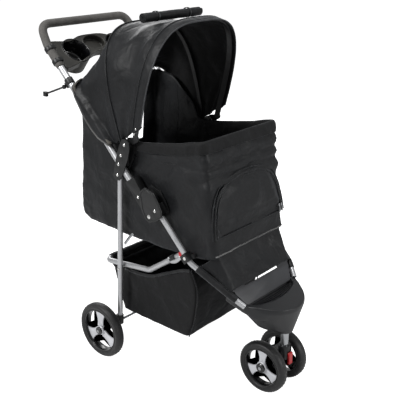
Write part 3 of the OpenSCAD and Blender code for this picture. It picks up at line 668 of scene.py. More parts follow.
def revolve(name: str, profile: Line, centre: Vector, finish: Finish, steps: int = 96) -> Piece:
    """Turns a closed profile about an axis that runs along X.

    Args:
        name: The piece's name.
        profile: (along the axis, distance from it) in millimetres.
        centre: The axis's place.
        finish: What it is dressed in.
        steps: Facets in a turn.

    Returns:
        The object.
    """
    ring, verts, faces = len(profile), [], []
    for i in range(steps):
        angle = 2 * pi * i / steps
        for a, r in profile:
            verts.append(centre + Vector((a, r * cos(angle), r * sin(angle))) * MM)
    for i in range(steps):
        for k in range(ring):
            n, m = (i + 1) % steps, (k + 1) % ring
            faces.append((i * ring + k, i * ring + m, n * ring + m, n * ring + k))
    return outward(new_object(name, verts, faces, finish))


def join(name: str, parts: Sequence[Piece]) -> Piece:
    """Joins pieces into the first one and names it.

    Args:
        name: The joined piece's name.
        parts: The pieces; all but the first are removed.

    Returns:
        The first piece with all the meshes and finishes.
    """
    mesh, slots = bmesh.new(), []
    uv_name = next((p.data.uv_layers[0].name for p in parts if p.data.uv_layers), None)
    for part in parts:
        numbers = []
        for material in part.data.materials:
            if material not in slots:
                slots.append(material)
            numbers.append(slots.index(material))
        for polygon in part.data.polygons:
            polygon.material_index = numbers[polygon.material_index] if numbers else 0
        if uv_name and not part.data.uv_layers:
            part.data.uv_layers.new(name=uv_name)
        mesh.from_mesh(part.data)
    whole = parts[0]
    mesh.to_mesh(whole.data)
    mesh.free()
    whole.data.materials.clear()
    for material in slots:
        whole.data.materials.append(material)
    for part in parts[1:]:
        bpy.data.objects.remove(part)
    whole.name = name
    return whole


def plate(
    name: str, outline: Line, thick_mm: float, place: Callable[[float, float, float], Vector], finish: Finish,
    edge_mm: float = 0.8
) -> Piece:
    """Makes a flat plate with rounded edges.

    Args:
        name: The piece's name.
        outline: Corners in the plate's own plane, in millimetres.
        thick_mm: Thickness along the third direction, from 0.
        place: Turns plane coordinates and height into a place.
        finish: What it is dressed in.
        edge_mm: Radius of its edges; 0 leaves them sharp.

    Returns:
        The object.
    """
    count = len(outline)
    verts = [place(a, b, 0.0) for a, b in outline] + [place(a, b, thick_mm) for a, b in outline]
    faces = [tuple(range(count)), tuple(range(2 * count - 1, count - 1, -1))]
    faces += [(i, (i + 1) % count, (i + 1) % count + count, i + count) for i in range(count)]
    obj = outward(new_object(name, verts, faces, finish), 0.001)
    if edge_mm:
        bevel(obj, edge_mm, 3, 50)
    return sharpen(obj, 30)


def copy_of(node: str, finish: Finish, edge_mm: float) -> Piece:
    """A rounded-edged copy of a CAD node, which stands for it.

    Args:
        node: The node's name.
        finish: What the copy is dressed in.
        edge_mm: Radius of its edges.

    Returns:
        The copy.
    """
    source = frame["nodes"][node]
    obj = placed(f"{node}_shown", source.data.copy())
    obj.data.materials.clear()
    obj.data.materials.append(finish.material)
    for polygon in obj.data.polygons:
        polygon.material_index = 0
    if obj.data.has_custom_normals:
        obj.data.normals_split_custom_set([(0, 0, 0)] * len(obj.data.loops))
    outward(obj, 0.02)
    sharpen(bevel(obj, edge_mm, 2))
    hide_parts(node)
    return obj


def remould(obj: Piece, voxel_mm: float, rounds: int = 6) -> Piece:
    """Melts overlapping closed shapes into one skin and rounds its corners, as a moulding has them."""
    modify(obj, "REMESH", mode="VOXEL", voxel_size=voxel_mm * MM, use_smooth_shade=True)
    modify(obj, "SMOOTH", factor=0.5, iterations=rounds)
    return settle(obj)


def cut(obj: Piece, tools: Iterable[Piece], operation: str = "DIFFERENCE") -> Piece:
    """Takes the tools away from a solid, or adds them, and removes them."""
    for tool in tools:
        modify(obj, "BOOLEAN", object=tool, operation=operation, solver="EXACT")
        settle(obj)
        bpy.data.objects.remove(tool)
    return obj


def cylinder(name: str, base: Vector, top: Vector, radius_mm: float, finish: Finish, sides: int = 48) -> Piece:
    """A closed round bar.

    Args:
        name: The piece's name.
        base: The middle of its first end.
        top: The middle of its other end.
        radius_mm: Its radius.
        finish: What it is dressed in.
        sides: Facets round it.

    Returns:
        The bar.
    """
    go = (top - base).normalized()
    up = Vector((1, 0, 0)) if abs(go.x) < 0.9 else Vector((0, 1, 0))
    return sweep(name, [base, top], round_section(radius_mm, sides), finish, up)


def wave(place: Vector, size_mm: float, seed: float) -> float:
    """Smooth noise from -1 to 1 whose features are about size_mm across."""
    return noise.noise(place / (size_mm * MM) + Vector((seed * 7.3, seed * 3.1, seed * 5.7)))


def fold(place: Vector, size_mm: float, seed: float) -> float:
    """Noise with sharp crests, from -1 to 1, as creased cloth has."""
    return 1 - 2 * abs(wave(place, size_mm, seed)) ** 0.8


@dataclass(frozen=True)
class Filling:
    """How a closed skin swells into a padded piece as simulated cloth."""

    frames: int = 20
    pressure: float = 4.0
    cap_mm: float = 7.0
    stiffness: float = 12.0
    bending: float = 0.3

    def swell(self, obj: Piece, pins: Sequence[float]) -> None:
        """Lets the skin settle as cloth and keeps the result in its mesh.

        Args:
            obj: A closed skin.
            pins: How firmly each vertex is held, from 0 to 1.
        """
        rest = [v.co.copy() for v in obj.data.vertices]
        group = obj.vertex_groups.new(name="held")
        for i, value in enumerate(pins):
            if value > 0:
                group.add([i], value, "REPLACE")
        made = obj.modifiers.new("cloth", "CLOTH")
        cloth = made.settings
        cloth.quality, cloth.mass = 5, 0.25
        cloth.vertex_group_mass = "held"
        cloth.tension_stiffness = cloth.compression_stiffness = self.stiffness
        cloth.shear_stiffness = self.stiffness / 2
        cloth.bending_stiffness = self.bending
        cloth.tension_damping = cloth.compression_damping = 8
        cloth.air_damping = 3
        cloth.shrink_min = cloth.shrink_max = 0.0
        cloth.use_pressure = True
        cloth.uniform_pressure_force = self.pressure
        cloth.effector_weights.gravity = 0.0
        made.collision_settings.use_collision = False
        made.point_cache.frame_start, made.point_cache.frame_end = 1, self.frames
        scene = bpy.context.scene
        for step in range(1, self.frames + 1):
            scene.frame_set(step)
        graph = bpy.context.evaluated_depsgraph_get()
        moved = [v.co.copy() for v in obj.evaluated_get(graph).data.vertices]
        obj.modifiers.clear()
        obj.vertex_groups.clear()
        scene.frame_set(1)
        cap = self.cap_mm * MM
        for vertex, start, end in zip(obj.data.vertices, rest, moved):
            move = end - start
            vertex.co = start + (move * (cap / move.length) if move.length > cap else move)


# --------------------------------------------------------------------------- studio


@dataclass(frozen=True)
class Studio:
    """Camera, white surroundings and soft lamps."""

    camera_at: tuple[float, float, float] = (-1.4885, -1.3469, 1.2130)
    turn_deg: float = -49.14
    rise_deg: float = 20.18
    roll_deg: float = -0.23
    lens_mm: float = 66.05
    # How much of the white surroundings gloss sees, and the even light that falls on matt faces.
    gloss_share: float = 0.36
    fill: float = 0.13
    # The paper's own grey and its glow, which shows it white to the camera.
    paper: float = 0.86
    glow: float = 0.95

    def camera(self) -> None:
        """Places the camera."""
        data = bpy.data.cameras.new("camera")
        data.lens, data.sensor_width = self.lens_mm, 36.0
        data.clip_start, data.clip_end = 0.05, 60.0
        obj = placed("camera", data)
        turn, rise = radians(self.turn_deg), radians(self.rise_deg)
        back = Vector((sin(turn) * cos(rise), -cos(turn) * cos(rise), sin(rise)))
        facing = (-back).to_track_quat("-Z", "Y").to_matrix()
        obj.matrix_world = (
            Matrix.Translation(self.camera_at) @ facing.to_4x4() @ Matrix.Rotation(radians(self.roll_deg), 4, "Z")
        )
        bpy.context.scene.camera = obj

    def world(self) -> None:
        """White where the camera, gloss or glass sees it, and a plain even light elsewhere."""
        world = bpy.data.worlds.new("studio")
        bpy.context.scene.world = world
        world.use_nodes = True
        tree = world.node_tree
        tree.nodes.clear()
        seen = put(tree, "LightPath")
        lit = put(tree, "Background", {"Color": linear("#f4f6fa"), "Strength": self.fill})
        white = put(tree, "Background", {"Color": (1, 1, 1, 1), "Strength": 1.0})
        glossy = put(tree, "Math", {0: seen.outputs["Is Glossy Ray"], 1: self.gloss_share}, operation="MULTIPLY")
        either = seen.outputs["Is Camera Ray"]
        for ray in (glossy, seen.outputs["Is Transmission Ray"]):
            either = put(tree, "Math", {0: either, 1: ray}, operation="MAXIMUM")
        blend = put(tree, "MixShader", {0: either, 1: lit, 2: white})
        put(tree, "OutputWorld", {"Surface": blend})

    def floor(self) -> None:
        """A pale floor that shows white to the camera apart from the stroller's soft shadow."""
        mesh = bpy.data.meshes.new("floor")
        half = 14.0
        mesh.from_pydata([(-half, -half, 0), (half, -half, 0), (half, half, 0), (-half, half, 0)], [], [(0, 1, 2, 3)])
        material = bpy.data.materials.new("white_seamless_paper")
        material.use_nodes = True
        tree = material.node_tree
        tree.nodes.clear()
        paper = put(tree, "BsdfDiffuse", {"Color": (self.paper, self.paper, self.paper, 1)})
        glow = put(tree, "Emission", {"Color": (1, 1, 1, 1), "Strength": self.glow})
        seen = put(tree, "LightPath")
        either = put(
            tree, "Math", {0: seen.outputs["Is Camera Ray"], 1: seen.outputs["Is Transmission Ray"]},
            operation="MAXIMUM"
        )
        none = put(tree, "Emission", {"Color": (0, 0, 0, 1), "Strength": 0.0})
        pick = put(tree, "MixShader", {0: either, 1: none, 2: glow})
        both = put(tree, "AddShader", {0: paper, 1: pick})
        put(tree, "OutputMaterial", {"Surface": both})
        mesh.materials.append(material)
        placed("floor", mesh)

    def lamp(self, name: str, place: Point3, size: float, watts: float, aim: Point3) -> None:
        """Adds one square soft lamp aimed at a place.

        Args:
            name: The lamp's name.
            place: Where it stands, in metres.
            size: Its width.
            watts: Its power.
            aim: The place that it faces.
        """
        data = bpy.data.lights.new(name, "AREA")
        data.shape, data.size, data.energy = "SQUARE", size, watts
        obj = placed(name, data)
        obj.location = place
        obj.rotation_mode = "QUATERNION"
        obj.rotation_quaternion = (Vector(aim) - Vector(place)).to_track_quat("-Z", "Y")

    def build(self) -> None:
        """Sets up the whole studio."""
        self.camera()
        self.world()
        self.floor()
        middle = (0.0, 0.0, 0.5)
        for name, place, size, watts in (
            ("key", (-3.0, 0.9, 2.6), 0.8, 88), ("front", (0.9, -3.6, 1.5), 0.9, 40),
            ("top", (-0.2, -0.3, 3.8), 1.0, 46), ("rear", (1.8, 2.6, 2.0), 1.6, 30)
        ):
            self.lamp(name, place, size, watts, middle)
        bpy.context.scene.view_settings.view_transform = "Standard"


# --------------------------------------------------------------------------- wheels


@dataclass
class Wheel:
    """One wheel: moulded tyre, polished rim with three spokes and a silver spoke cover."""

    name: str
    body: str
    radius: float
    width: float
    centre_x: float
    axle: tuple[float, float]
    side: float
    axle_d: float
    bead_depth: float = 19.0
    lugs: int = 44

    @property
    def centre(self) -> Vector:
        """The middle of the wheel."""
        return at(self.centre_x, *self.axle)

    @property
    def bead(self) -> float:
        """Radius where tyre and rim meet, in millimetres."""
        return self.radius - self.bead_depth

    def tyre(self) -> Piece:
        """A rounded tyre with a stepped side wall, a raised tread band and shallow lugs."""
        half, bead, top = self.width / 2, self.bead, self.radius
        side = [
            (half - 5.2, bead), (half - 3.4, bead + 0.6), (half - 1.6, bead + 2.6), (half - 0.9, bead + 4.6),
            (half - 1.2, bead + 5.4), (half - 0.2, bead + 6.6), (half, bead + 9.0), (half - 0.5, top - 7.4),
            (half - 1.7, top - 4.6), (half - 3.6, top - 2.4), (half - 4.4, top - 2.2), (half - 6.2, top - 1.0),
            (half - 9.4, top - 0.2)
        ]
        profile = [(-a, r) for a, r in side] + [(0, top)] + [(a, r) for a, r in reversed(side)]
        tyre = revolve(f"{self.name}_tyre_body", profile, self.centre, TYRE_EVA, 120)
        return self.named(join(f"{self.name}_tyre_shown", [tyre, self.tread()]), "tyre", "tyre")

    def tread(self) -> Piece:
        """Shallow slanted lugs repeated round the tread by Geometry Nodes."""
        tree, (count, radius, size) = start_tree(f"{self.name}_lugs", Count="Int", Radius="Float", Size="Vector")
        given = put(tree, "NodeGroupInput")
        ring = put(
            tree, "GeometryNodeMeshCircle", {"Vertices": given.outputs["Count"], "Radius": given.outputs["Radius"]},
            fill_type="NONE"
        )
        normal = put(tree, "GeometryNodeInputPosition")
        turn = put(tree, "FunctionNodeAlignRotationToVector", {"Vector": normal}, axis="Z")
        slant = put(tree, "FunctionNodeRotateRotation", {0: turn, 1: (0.0, 0.0, radians(28))}, rotation_space="LOCAL")
        lug = put(tree, "GeometryNodeMeshCube", {"Size": given.outputs["Size"]})
        copies = put(tree, "GeometryNodeInstanceOnPoints", {"Points": ring, "Instance": lug, "Rotation": slant})
        finish_tree(tree, copies, TYRE_EVA)
        holder = new_object(f"{self.name}_lugs", [], [], TYRE_EVA)
        lug_mm = Vector((1.6, self.width - 12, 1.0))
        grow(holder, tree, {count: self.lugs, radius: (self.radius - 0.35) * MM, size: lug_mm * MM})
        holder.data.transform(Matrix.Translation(self.centre) @ Matrix.Rotation(radians(90), 4, "Y"))
        holder.data.shade_flat()
        return holder

    def star(self, reach: float, neck: float, flare: float, hub: float) -> list[tuple[float, float]]:
        """Outline of three arms that are narrow at the neck and flare towards the rim.

        Args:
            reach: Radius at the arms' ends.
            neck: Half width of an arm at its narrowest.
            flare: Half width at its end.
            hub: Radius where two arms meet.

        Returns:
            Corners, first arm upwards.
        """
        side = []
        for i in range(13):
            t = i / 12
            r = mix(hub, reach, t)
            half = neck + (flare - neck) * t**2.3 + 3.0 * (1 - t) ** 6
            side.append((r, half))
        end = [(sqrt(max(reach**2 - h * h, 1)), h) for h in (flare * 0.6, 0.0, -flare * 0.6)]
        one = [(r if i < 12 else sqrt(reach**2 - h * h), h) for i, (r, h) in enumerate(side)]
        arm = one + end + [(r, -h) for r, h in reversed(one)]
        outline = []
        for turn in (0, 120, 240):
            a = radians(turn)
            outline += [(r * cos(a) - h * sin(a), r * sin(a) + h * cos(a)) for r, h in arm]
        return outline

    def facing(self, up: float, along_y: float, out: float) -> Vector:
        """A place on the wheel: height above the hub, distance along Y and distance outwards."""
        return self.centre + Vector((self.side * out, along_y, up)) * MM

    def rim(self) -> Piece:
        """The rim's barrel with lips, three spokes and the hub."""
        half, bead = self.width / 2, self.bead
        barrel = [
            (-half + 2.6, bead - 0.2), (-half + 2.2, bead - 1.4), (-half + 2.6, bead - 2.8),
            (-half + 4.4, bead - 3.4), (-4.0, bead - 5.4), (3.0, bead - 5.4), (half - 4.4, bead - 3.4),
            (half - 2.6, bead - 2.8), (half - 2.2, bead - 1.4), (half - 2.6, bead - 0.2)
        ]
        ring = revolve("ring", barrel, self.centre, RIM_NYLON, 96)
        spokes = plate(
            "spokes", self.star(bead - 4.6, bead * 0.13, bead * 0.42, bead * 0.2), 4.5,
            lambda a, b, c: self.facing(a, b, c - 3.0), RIM_NYLON, 0.7
        )
        bore = self.axle_d / 2 + 0.3
        hub_half = half + 1
        hub_r = self.axle_d + 4
        tube = [
            (-hub_half, bore), (-hub_half, hub_r - 1.5), (-hub_half + 1.2, hub_r), (hub_half - 1.2, hub_r),
            (hub_half, hub_r - 1.5), (hub_half, bore)
        ]
        hub = revolve("hub", tube, self.centre, RIM_NYLON, 48)
        rim = sharpen(join(f"{self.name}_rim_shown", [ring, spokes, hub]), 38)
        return self.named(rim, "rim", "gloss_black")

    def cover(self) -> Piece:
        """The silver three-armed cover with a crowned face and a raised middle."""
        bead = self.bead
        reach = bead - 5.6
        arms = plate(
            "arms", self.star(reach, bead * 0.15, bead * 0.34, bead * 0.22), 3.4,
            lambda a, b, c: self.facing(a, b, c + 2.4 - 1.2 * (hypot(a, b) / reach) ** 2), COVER_ABS, 1.0
        )
        hub_r = self.axle_d + 7
        inner = self.axle_d + 4.3
        lip = [(0, inner), (0, hub_r), (5.0, hub_r), (6.0, hub_r - 1.2), (6.0, inner)]
        cap = revolve("cap", [(a * self.side, r) for a, r in lip], self.facing(0, 0, 2.4), COVER_ABS, 48)
        dome = [(5.0 * cos(a), hub_r * sin(a)) for a in (pi / 2 * k / 8 for k in range(9))]
        plug = revolve(
            "plug", [(a * self.side, r + 0.01) for a, r in dome] + [(0, 0.01)], self.facing(0, 0, 7.4), COVER_ABS, 40
        )
        cover = sharpen(join(f"{self.name}_cover_shown", [arms, cap, plug]), 38)
        return self.named(cover, "cover", "silver_plastic")

    def named(self, obj: Piece, kind: str, slot: str) -> Piece:
        """Lets a wheel piece stand for its CAD node and turn with the wheel."""
        axle, side = self.name.split("_")
        return fit(obj, slot, self.body, f"{axle}_{kind}_{side}")

    def build(self) -> None:
        """Makes the three pieces."""
        self.tyre()
        self.rim()
        self.cover()


def build_wheels() -> None:
    """Makes the four wheels."""
    for side, word in ((LEFT, "left"), (RIGHT, "right")):
        Wheel(f"rear_{word}", f"rear_wheel_{word}", 85, 29, side * 212.5, (0, 85), side, 8).build()
        Wheel(f"front_{word}", f"front_wheel_{word}", 75, 29, side * 47.5, (-479, 75), side, 10).build()


# --------------------------------------------------------------------------- frame and mouldings


ARM_SLOPE = radians(46.2)
FOLD_PIVOT = (-186.0, 488.0)
HALF_W = 172.0
ARM_R, LEG_R = 9.5, 7.75
TRAY_AT, TRAY_TILT = (195.0, 885.0), radians(40)
HANDLE_AT = (248.0, 962.5)
STRUT_V = 29.0
FLANGE = (137.0, -430.0, 313.0)
PLUG = (116.0, -462.0, 283.0)


def on_arm(s: float, v: float = 0.0) -> tuple[float, float]:
    """A side-view place s along the handle arm from the fold pivot and v in front of it."""
    c, n = cos(ARM_SLOPE), sin(ARM_SLOPE)
    return FOLD_PIVOT[0] + s * c - v * n, FOLD_PIVOT[1] + s * n + v * c


def show_node(node: str, finish: Finish) -> None:
    """Shows a CAD node as it is, in a finish."""
    mesh = frame["nodes"][node].data
    mesh.materials.clear()
    mesh.materials.append(finish.material)
    for polygon in mesh.polygons:
        polygon.material_index = 0


def filleted(points: Sequence[Vector], radius_mm: Sequence[float], steps: int = 8) -> list[Vector]:
    """A line through the points whose inner corners are arcs of the given radii.

    Args:
        points: The corners and both ends.
        radius_mm: A radius for each point; those of the ends are not used.
        steps: Steps round a corner.

    Returns:
        The line.
    """
    line = [points[0].copy()]
    for i in range(1, len(points) - 1):
        go, leave = (points[i] - points[i - 1]).normalized(), (points[i + 1] - points[i]).normalized()
        angle = go.angle(leave)
        trim = radius_mm[i] * MM * tan(angle / 2)
        start, end = points[i] - go * trim, points[i] + leave * trim
        for k in range(steps + 1):
            t = k / steps
            line.append(start.lerp(points[i], t).lerp(points[i].lerp(end, t), t))
    line.append(points[-1].copy())
    return line


@dataclass(frozen=True)
class Shown:
    """A moulding or pressing that keeps its CAD form, with rounded edges."""

    node: str
    finish: Finish
    edge_mm: float
    body: str
    slot: str = "black_plastic"

    def build(self) -> Piece:
        """Makes the piece and lets it ride its body."""
        obj = copy_of(self.node, self.finish, self.edge_mm)
        return fit(obj, self.slot, self.body)


def build_tubes() -> None:
    """Dresses the CAD tubes and rods, which show as they are."""
    for node in (
        "handle_tube", "front_strut_left", "front_strut_right", "rear_leg_left", "rear_leg_right", "basket_tube"
    ):
        show_node(node, TUBE)
    for node in ("floor_frame", "rear_axle", "front_axle", "fork_stem"):
        show_node(node, ROD)
    show_node("front_bow", NYLON)
    show_node("mid_bow", NYLON)


def build_shown() -> None:
    """Makes the brackets, locks, clips, rivets and other small mouldings."""
    upper, front, rear = "upper_frame", "front_frame", "rear_frame"
    pieces = [
        Shown("tray_clamps", NYLON, 0.8, upper), Shown("hook_clip", NYLON, 1.0, upper),
        Shown("bracket_rivets", NICKEL, 0.2, upper, "rivet_steel"),
        Shown("lock_rivets", NICKEL, 0.2, front, "rivet_steel"), Shown("strut_blocks", NYLON, 1.4, front),
        Shown("strut_caps", WHITE_PE, 0.3, front, "white_plastic"), Shown("axle_mounts", NYLON, 1.6, rear),
        Shown("leg_pins", NICKEL, 0.2, rear, "rivet_steel"), Shown("basket_clips", NYLON, 1.0, "basket_frame"),
        Shown("link_caps", RED_NYLON, 0.8, "basket_frame", "red_plastic"),
        Shown("caster_housing", NYLON, 2.6, "caster"),
        Shown("swivel_lock", RED_NYLON, 1.8, "swivel_lock_lever", "red_plastic"),
        Shown("hook_arm", NYLON, 1.4, "hook")
    ]
    for side in ("left", "right"):
        pieces += [
            Shown(f"side_bracket_{side}", NYLON, 0.9, upper), Shown(f"upper_lock_{side}", NYLON, 1.6, upper),
            Shown(f"lower_lock_{side}", NYLON, 0.9, front), Shown(f"lock_latch_{side}", NYLON, 2.0, f"latch_{side}"),
            Shown(f"brake_pedal_{side}", NYLON, 1.6, f"brake_{side}")
        ]
    for piece in pieces:
        piece.build()


@dataclass
class LockTrim:
    """Raised contour on the outer face of a fold lock."""

    side: float
    face_x: float = HALF_W + 11.4 + 3.0
    inset: float = 6.0

    def build(self) -> Piece:
        """Makes the contour bead on one lock."""
        leaf = [
            (69, 20), (67, 48), (51, 56), (39, 64), (10, 61), (-15, 54), (-25, 42), (-24, 18), (-14, -11), (2, -16),
            (29, -10), (49, 4)
        ]
        middle = (24.0, 24.0)
        inner = []
        for s, v in leaf:
            reach = hypot(s - middle[0], v - middle[1])
            share = (reach - self.inset) / reach
            inner.append((mix(middle[0], s, share), mix(middle[1], v, share)))
        line = [at(self.side * self.face_x, *on_arm(s, v)) for s, v in inner]
        path = smooth_path(line, 2.5, True)
        name = f"lock_contour_{'left' if self.side > 0 else 'right'}"
        bead = sweep(
            name, path, [(-1.6, -0.6), (-0.9, 0.9), (0.9, 0.9), (1.6, -0.6)], NYLON, Vector((self.side, 0, 0)), True
        )
        return fit(sharpen(bead, 60), "black_plastic", "front_frame")


@dataclass
class ParentTray:
    """Moulded tray with two cup wells, a middle recess, raised lips and a deep front wall."""

    half: float = 159.3
    cup_x: float = 83.7
    cup_r: float = 42.0
    depth: float = 52.0
    wall: float = 3.0
    skirt: float = 24.0

    def place(self, x: float, v: float, w: float) -> Vector:
        """A place in the tray's own tilted frame: across, up the slope and out of the deck."""
        c, n = cos(TRAY_TILT), sin(TRAY_TILT)
        return at(x, TRAY_AT[0] + v * c - w * n, TRAY_AT[1] + v * n + w * c)

    def sunk(self, depth: float) -> Callable[[float, float, float], Vector]:
        """Places for a plate whose underside lies depth millimetres under the deck."""
        return lambda a, b, c: self.place(a, b, c - depth)

    def outline(self, inset: float = 0.0) -> list[tuple[float, float]]:
        """The deck's outline, both halves."""
        right = [
            (0, 52), (22, 51.5), (42, 49.5), (58, 44.5), (74, 39), (92, 37), (112, 38.5), (132, 41.5), (147, 43),
            (155, 41), (159.3, 35), (159.3, 0), (159.3, -48), (156, -54), (149, -56), (124, -51), (96, -43.5),
            (66, -33), (36, -21), (16, -14.5), (0, -13)
        ]
        both = right + [(-x, v) for x, v in reversed(right[1:-1])]
        if not inset:
            return both
        return [(x * (1 - inset / self.half), v - copysign(inset, v - (12 - abs(x) * 0.12))) for x, v in both]

    def build(self) -> list[Piece]:
        """Makes the tray and its polished cup wells."""
        body = plate("parent_tray_shown", self.outline(), self.skirt, self.sunk(self.skirt), TRAY_ABS, 0)
        under = plate("under", self.outline(self.wall), self.skirt, self.sunk(self.skirt + self.wall), TRAY_ABS, 0)
        cut(body, [under])
        wells, holes = [], []
        for side in (LEFT, RIGHT):
            x = side * self.cup_x
            for found, low, high, radius in (
                (wells, 0, 1.2, self.cup_r + self.wall), (holes, self.wall, 9, self.cup_r)
            ):
                found.append(
                    cylinder("w", self.place(x, 0, low - self.depth), self.place(x, 0, high), radius, TRAY_ABS, 72)
                )
        recess = [(38 * cos(a), 22 + 26 * sin(a)) for a in (2 * pi * i / 48 for i in range(48))]
        well = [(x * 1.07, 22 + (v - 22) * 1.1) for x, v in recess]
        wells.append(plate("m", well, 21, self.sunk(20), TRAY_ABS, 0))
        holes.append(plate("n", recess, 30, self.sunk(17), TRAY_ABS, 0))
        cut(body, wells, "UNION")
        cut(body, holes)
        edge = smooth_path([self.place(x, v, 0.3) for x, v in self.outline()], 3.0, True)
        axis = (self.place(0, 0, 1) - self.place(0, 0, 0)).normalized()
        rail = sweep("rail", edge, [(-2.4, -2), (-2.0, 1.0), (0.4, 1.4), (1.6, 0.2), (1.4, -2)], TRAY_ABS, axis, True)
        cut(body, [rail], "UNION")
        remould(body, 1.5, 3)
        fit(body, "grey_plastic", "upper_frame", "parent_tray")
        r, low = self.cup_r, self.wall - self.depth
        liners = []
        for side in (LEFT, RIGHT):
            cup = revolve(
                "cup",
                [
                    (low + 0.2, 0.4), (low + 0.2, r - 6), (low + 2.0, r - 2.0), (low + 6, r - 0.6), (1.4, r - 0.3),
                    (2.4, r + 0.6), (2.6, r + 2.0), (2.0, r + 3.2), (1.0, r + 3.6), (0.8, r + 0.2),
                    (low + 6, r + 0.2), (low - 0.4, r - 1), (low - 0.4, 0.4)
                ], Vector((0, 0, 0)), CUP_ABS, 96
            )
            turn = Vector((1, 0, 0)).rotation_difference(axis).to_matrix().to_4x4()
            cup.data.transform(Matrix.Translation(self.place(side * self.cup_x, 0, 0)) @ turn)
            liners.append(sharpen(cup, 50))
        cups = join("tray_cup_wells", liners)
        fit(cups, "gloss_black", "upper_frame")
        return [body, cups]


def build_grip() -> Piece:
    """The foam grip round the handle, down to both arms."""
    half = HALF_W
    points = [
        at(-half, *on_arm(503)), at(-half, *on_arm(579)), at(-half + 5, *HANDLE_AT), at(half - 5, *HANDLE_AT),
        at(half, *on_arm(579)), at(half, *on_arm(503))
    ]
    path = resample(filleted(points, [0, 60, 36, 36, 60, 0]), 150)
    radius = ARM_R + 2.75

    def swell(t: float) -> float:
        """The foam's size at a share of the way along, a little less at its ends."""
        end = min(t, 1 - t) * 150
        return 0.86 + 0.14 * smooth(end, 0.0, 2.4)

    grip = sweep("foam_grip_shown", path, round_section(radius, 28), GRIP_FOAM, Vector((0, -1, 0.2)), False, swell)
    return fit(grip, "foam", "upper_frame", "foam_grip")


def hull_of(name: str, points: Sequence[Vector], finish: Finish) -> Piece:
    """The convex solid round a set of places.

    Args:
        name: The piece's name.
        points: The places.
        finish: What it is dressed in.

    Returns:
        The solid.
    """
    mesh = bmesh.new()
    for place in points:
        mesh.verts.new(place)
    made = bmesh.ops.convex_hull(mesh, input=mesh.verts)
    spare = [g for g in made["geom_interior"] + made["geom_unused"] if isinstance(g, bmesh.types.BMVert)]
    bmesh.ops.delete(mesh, geom=list(set(spare)), context="VERTS")
    data = bpy.data.meshes.new(name)
    mesh.to_mesh(data)
    mesh.free()
    data.materials.append(finish.material)
    return outward(placed(name, data))


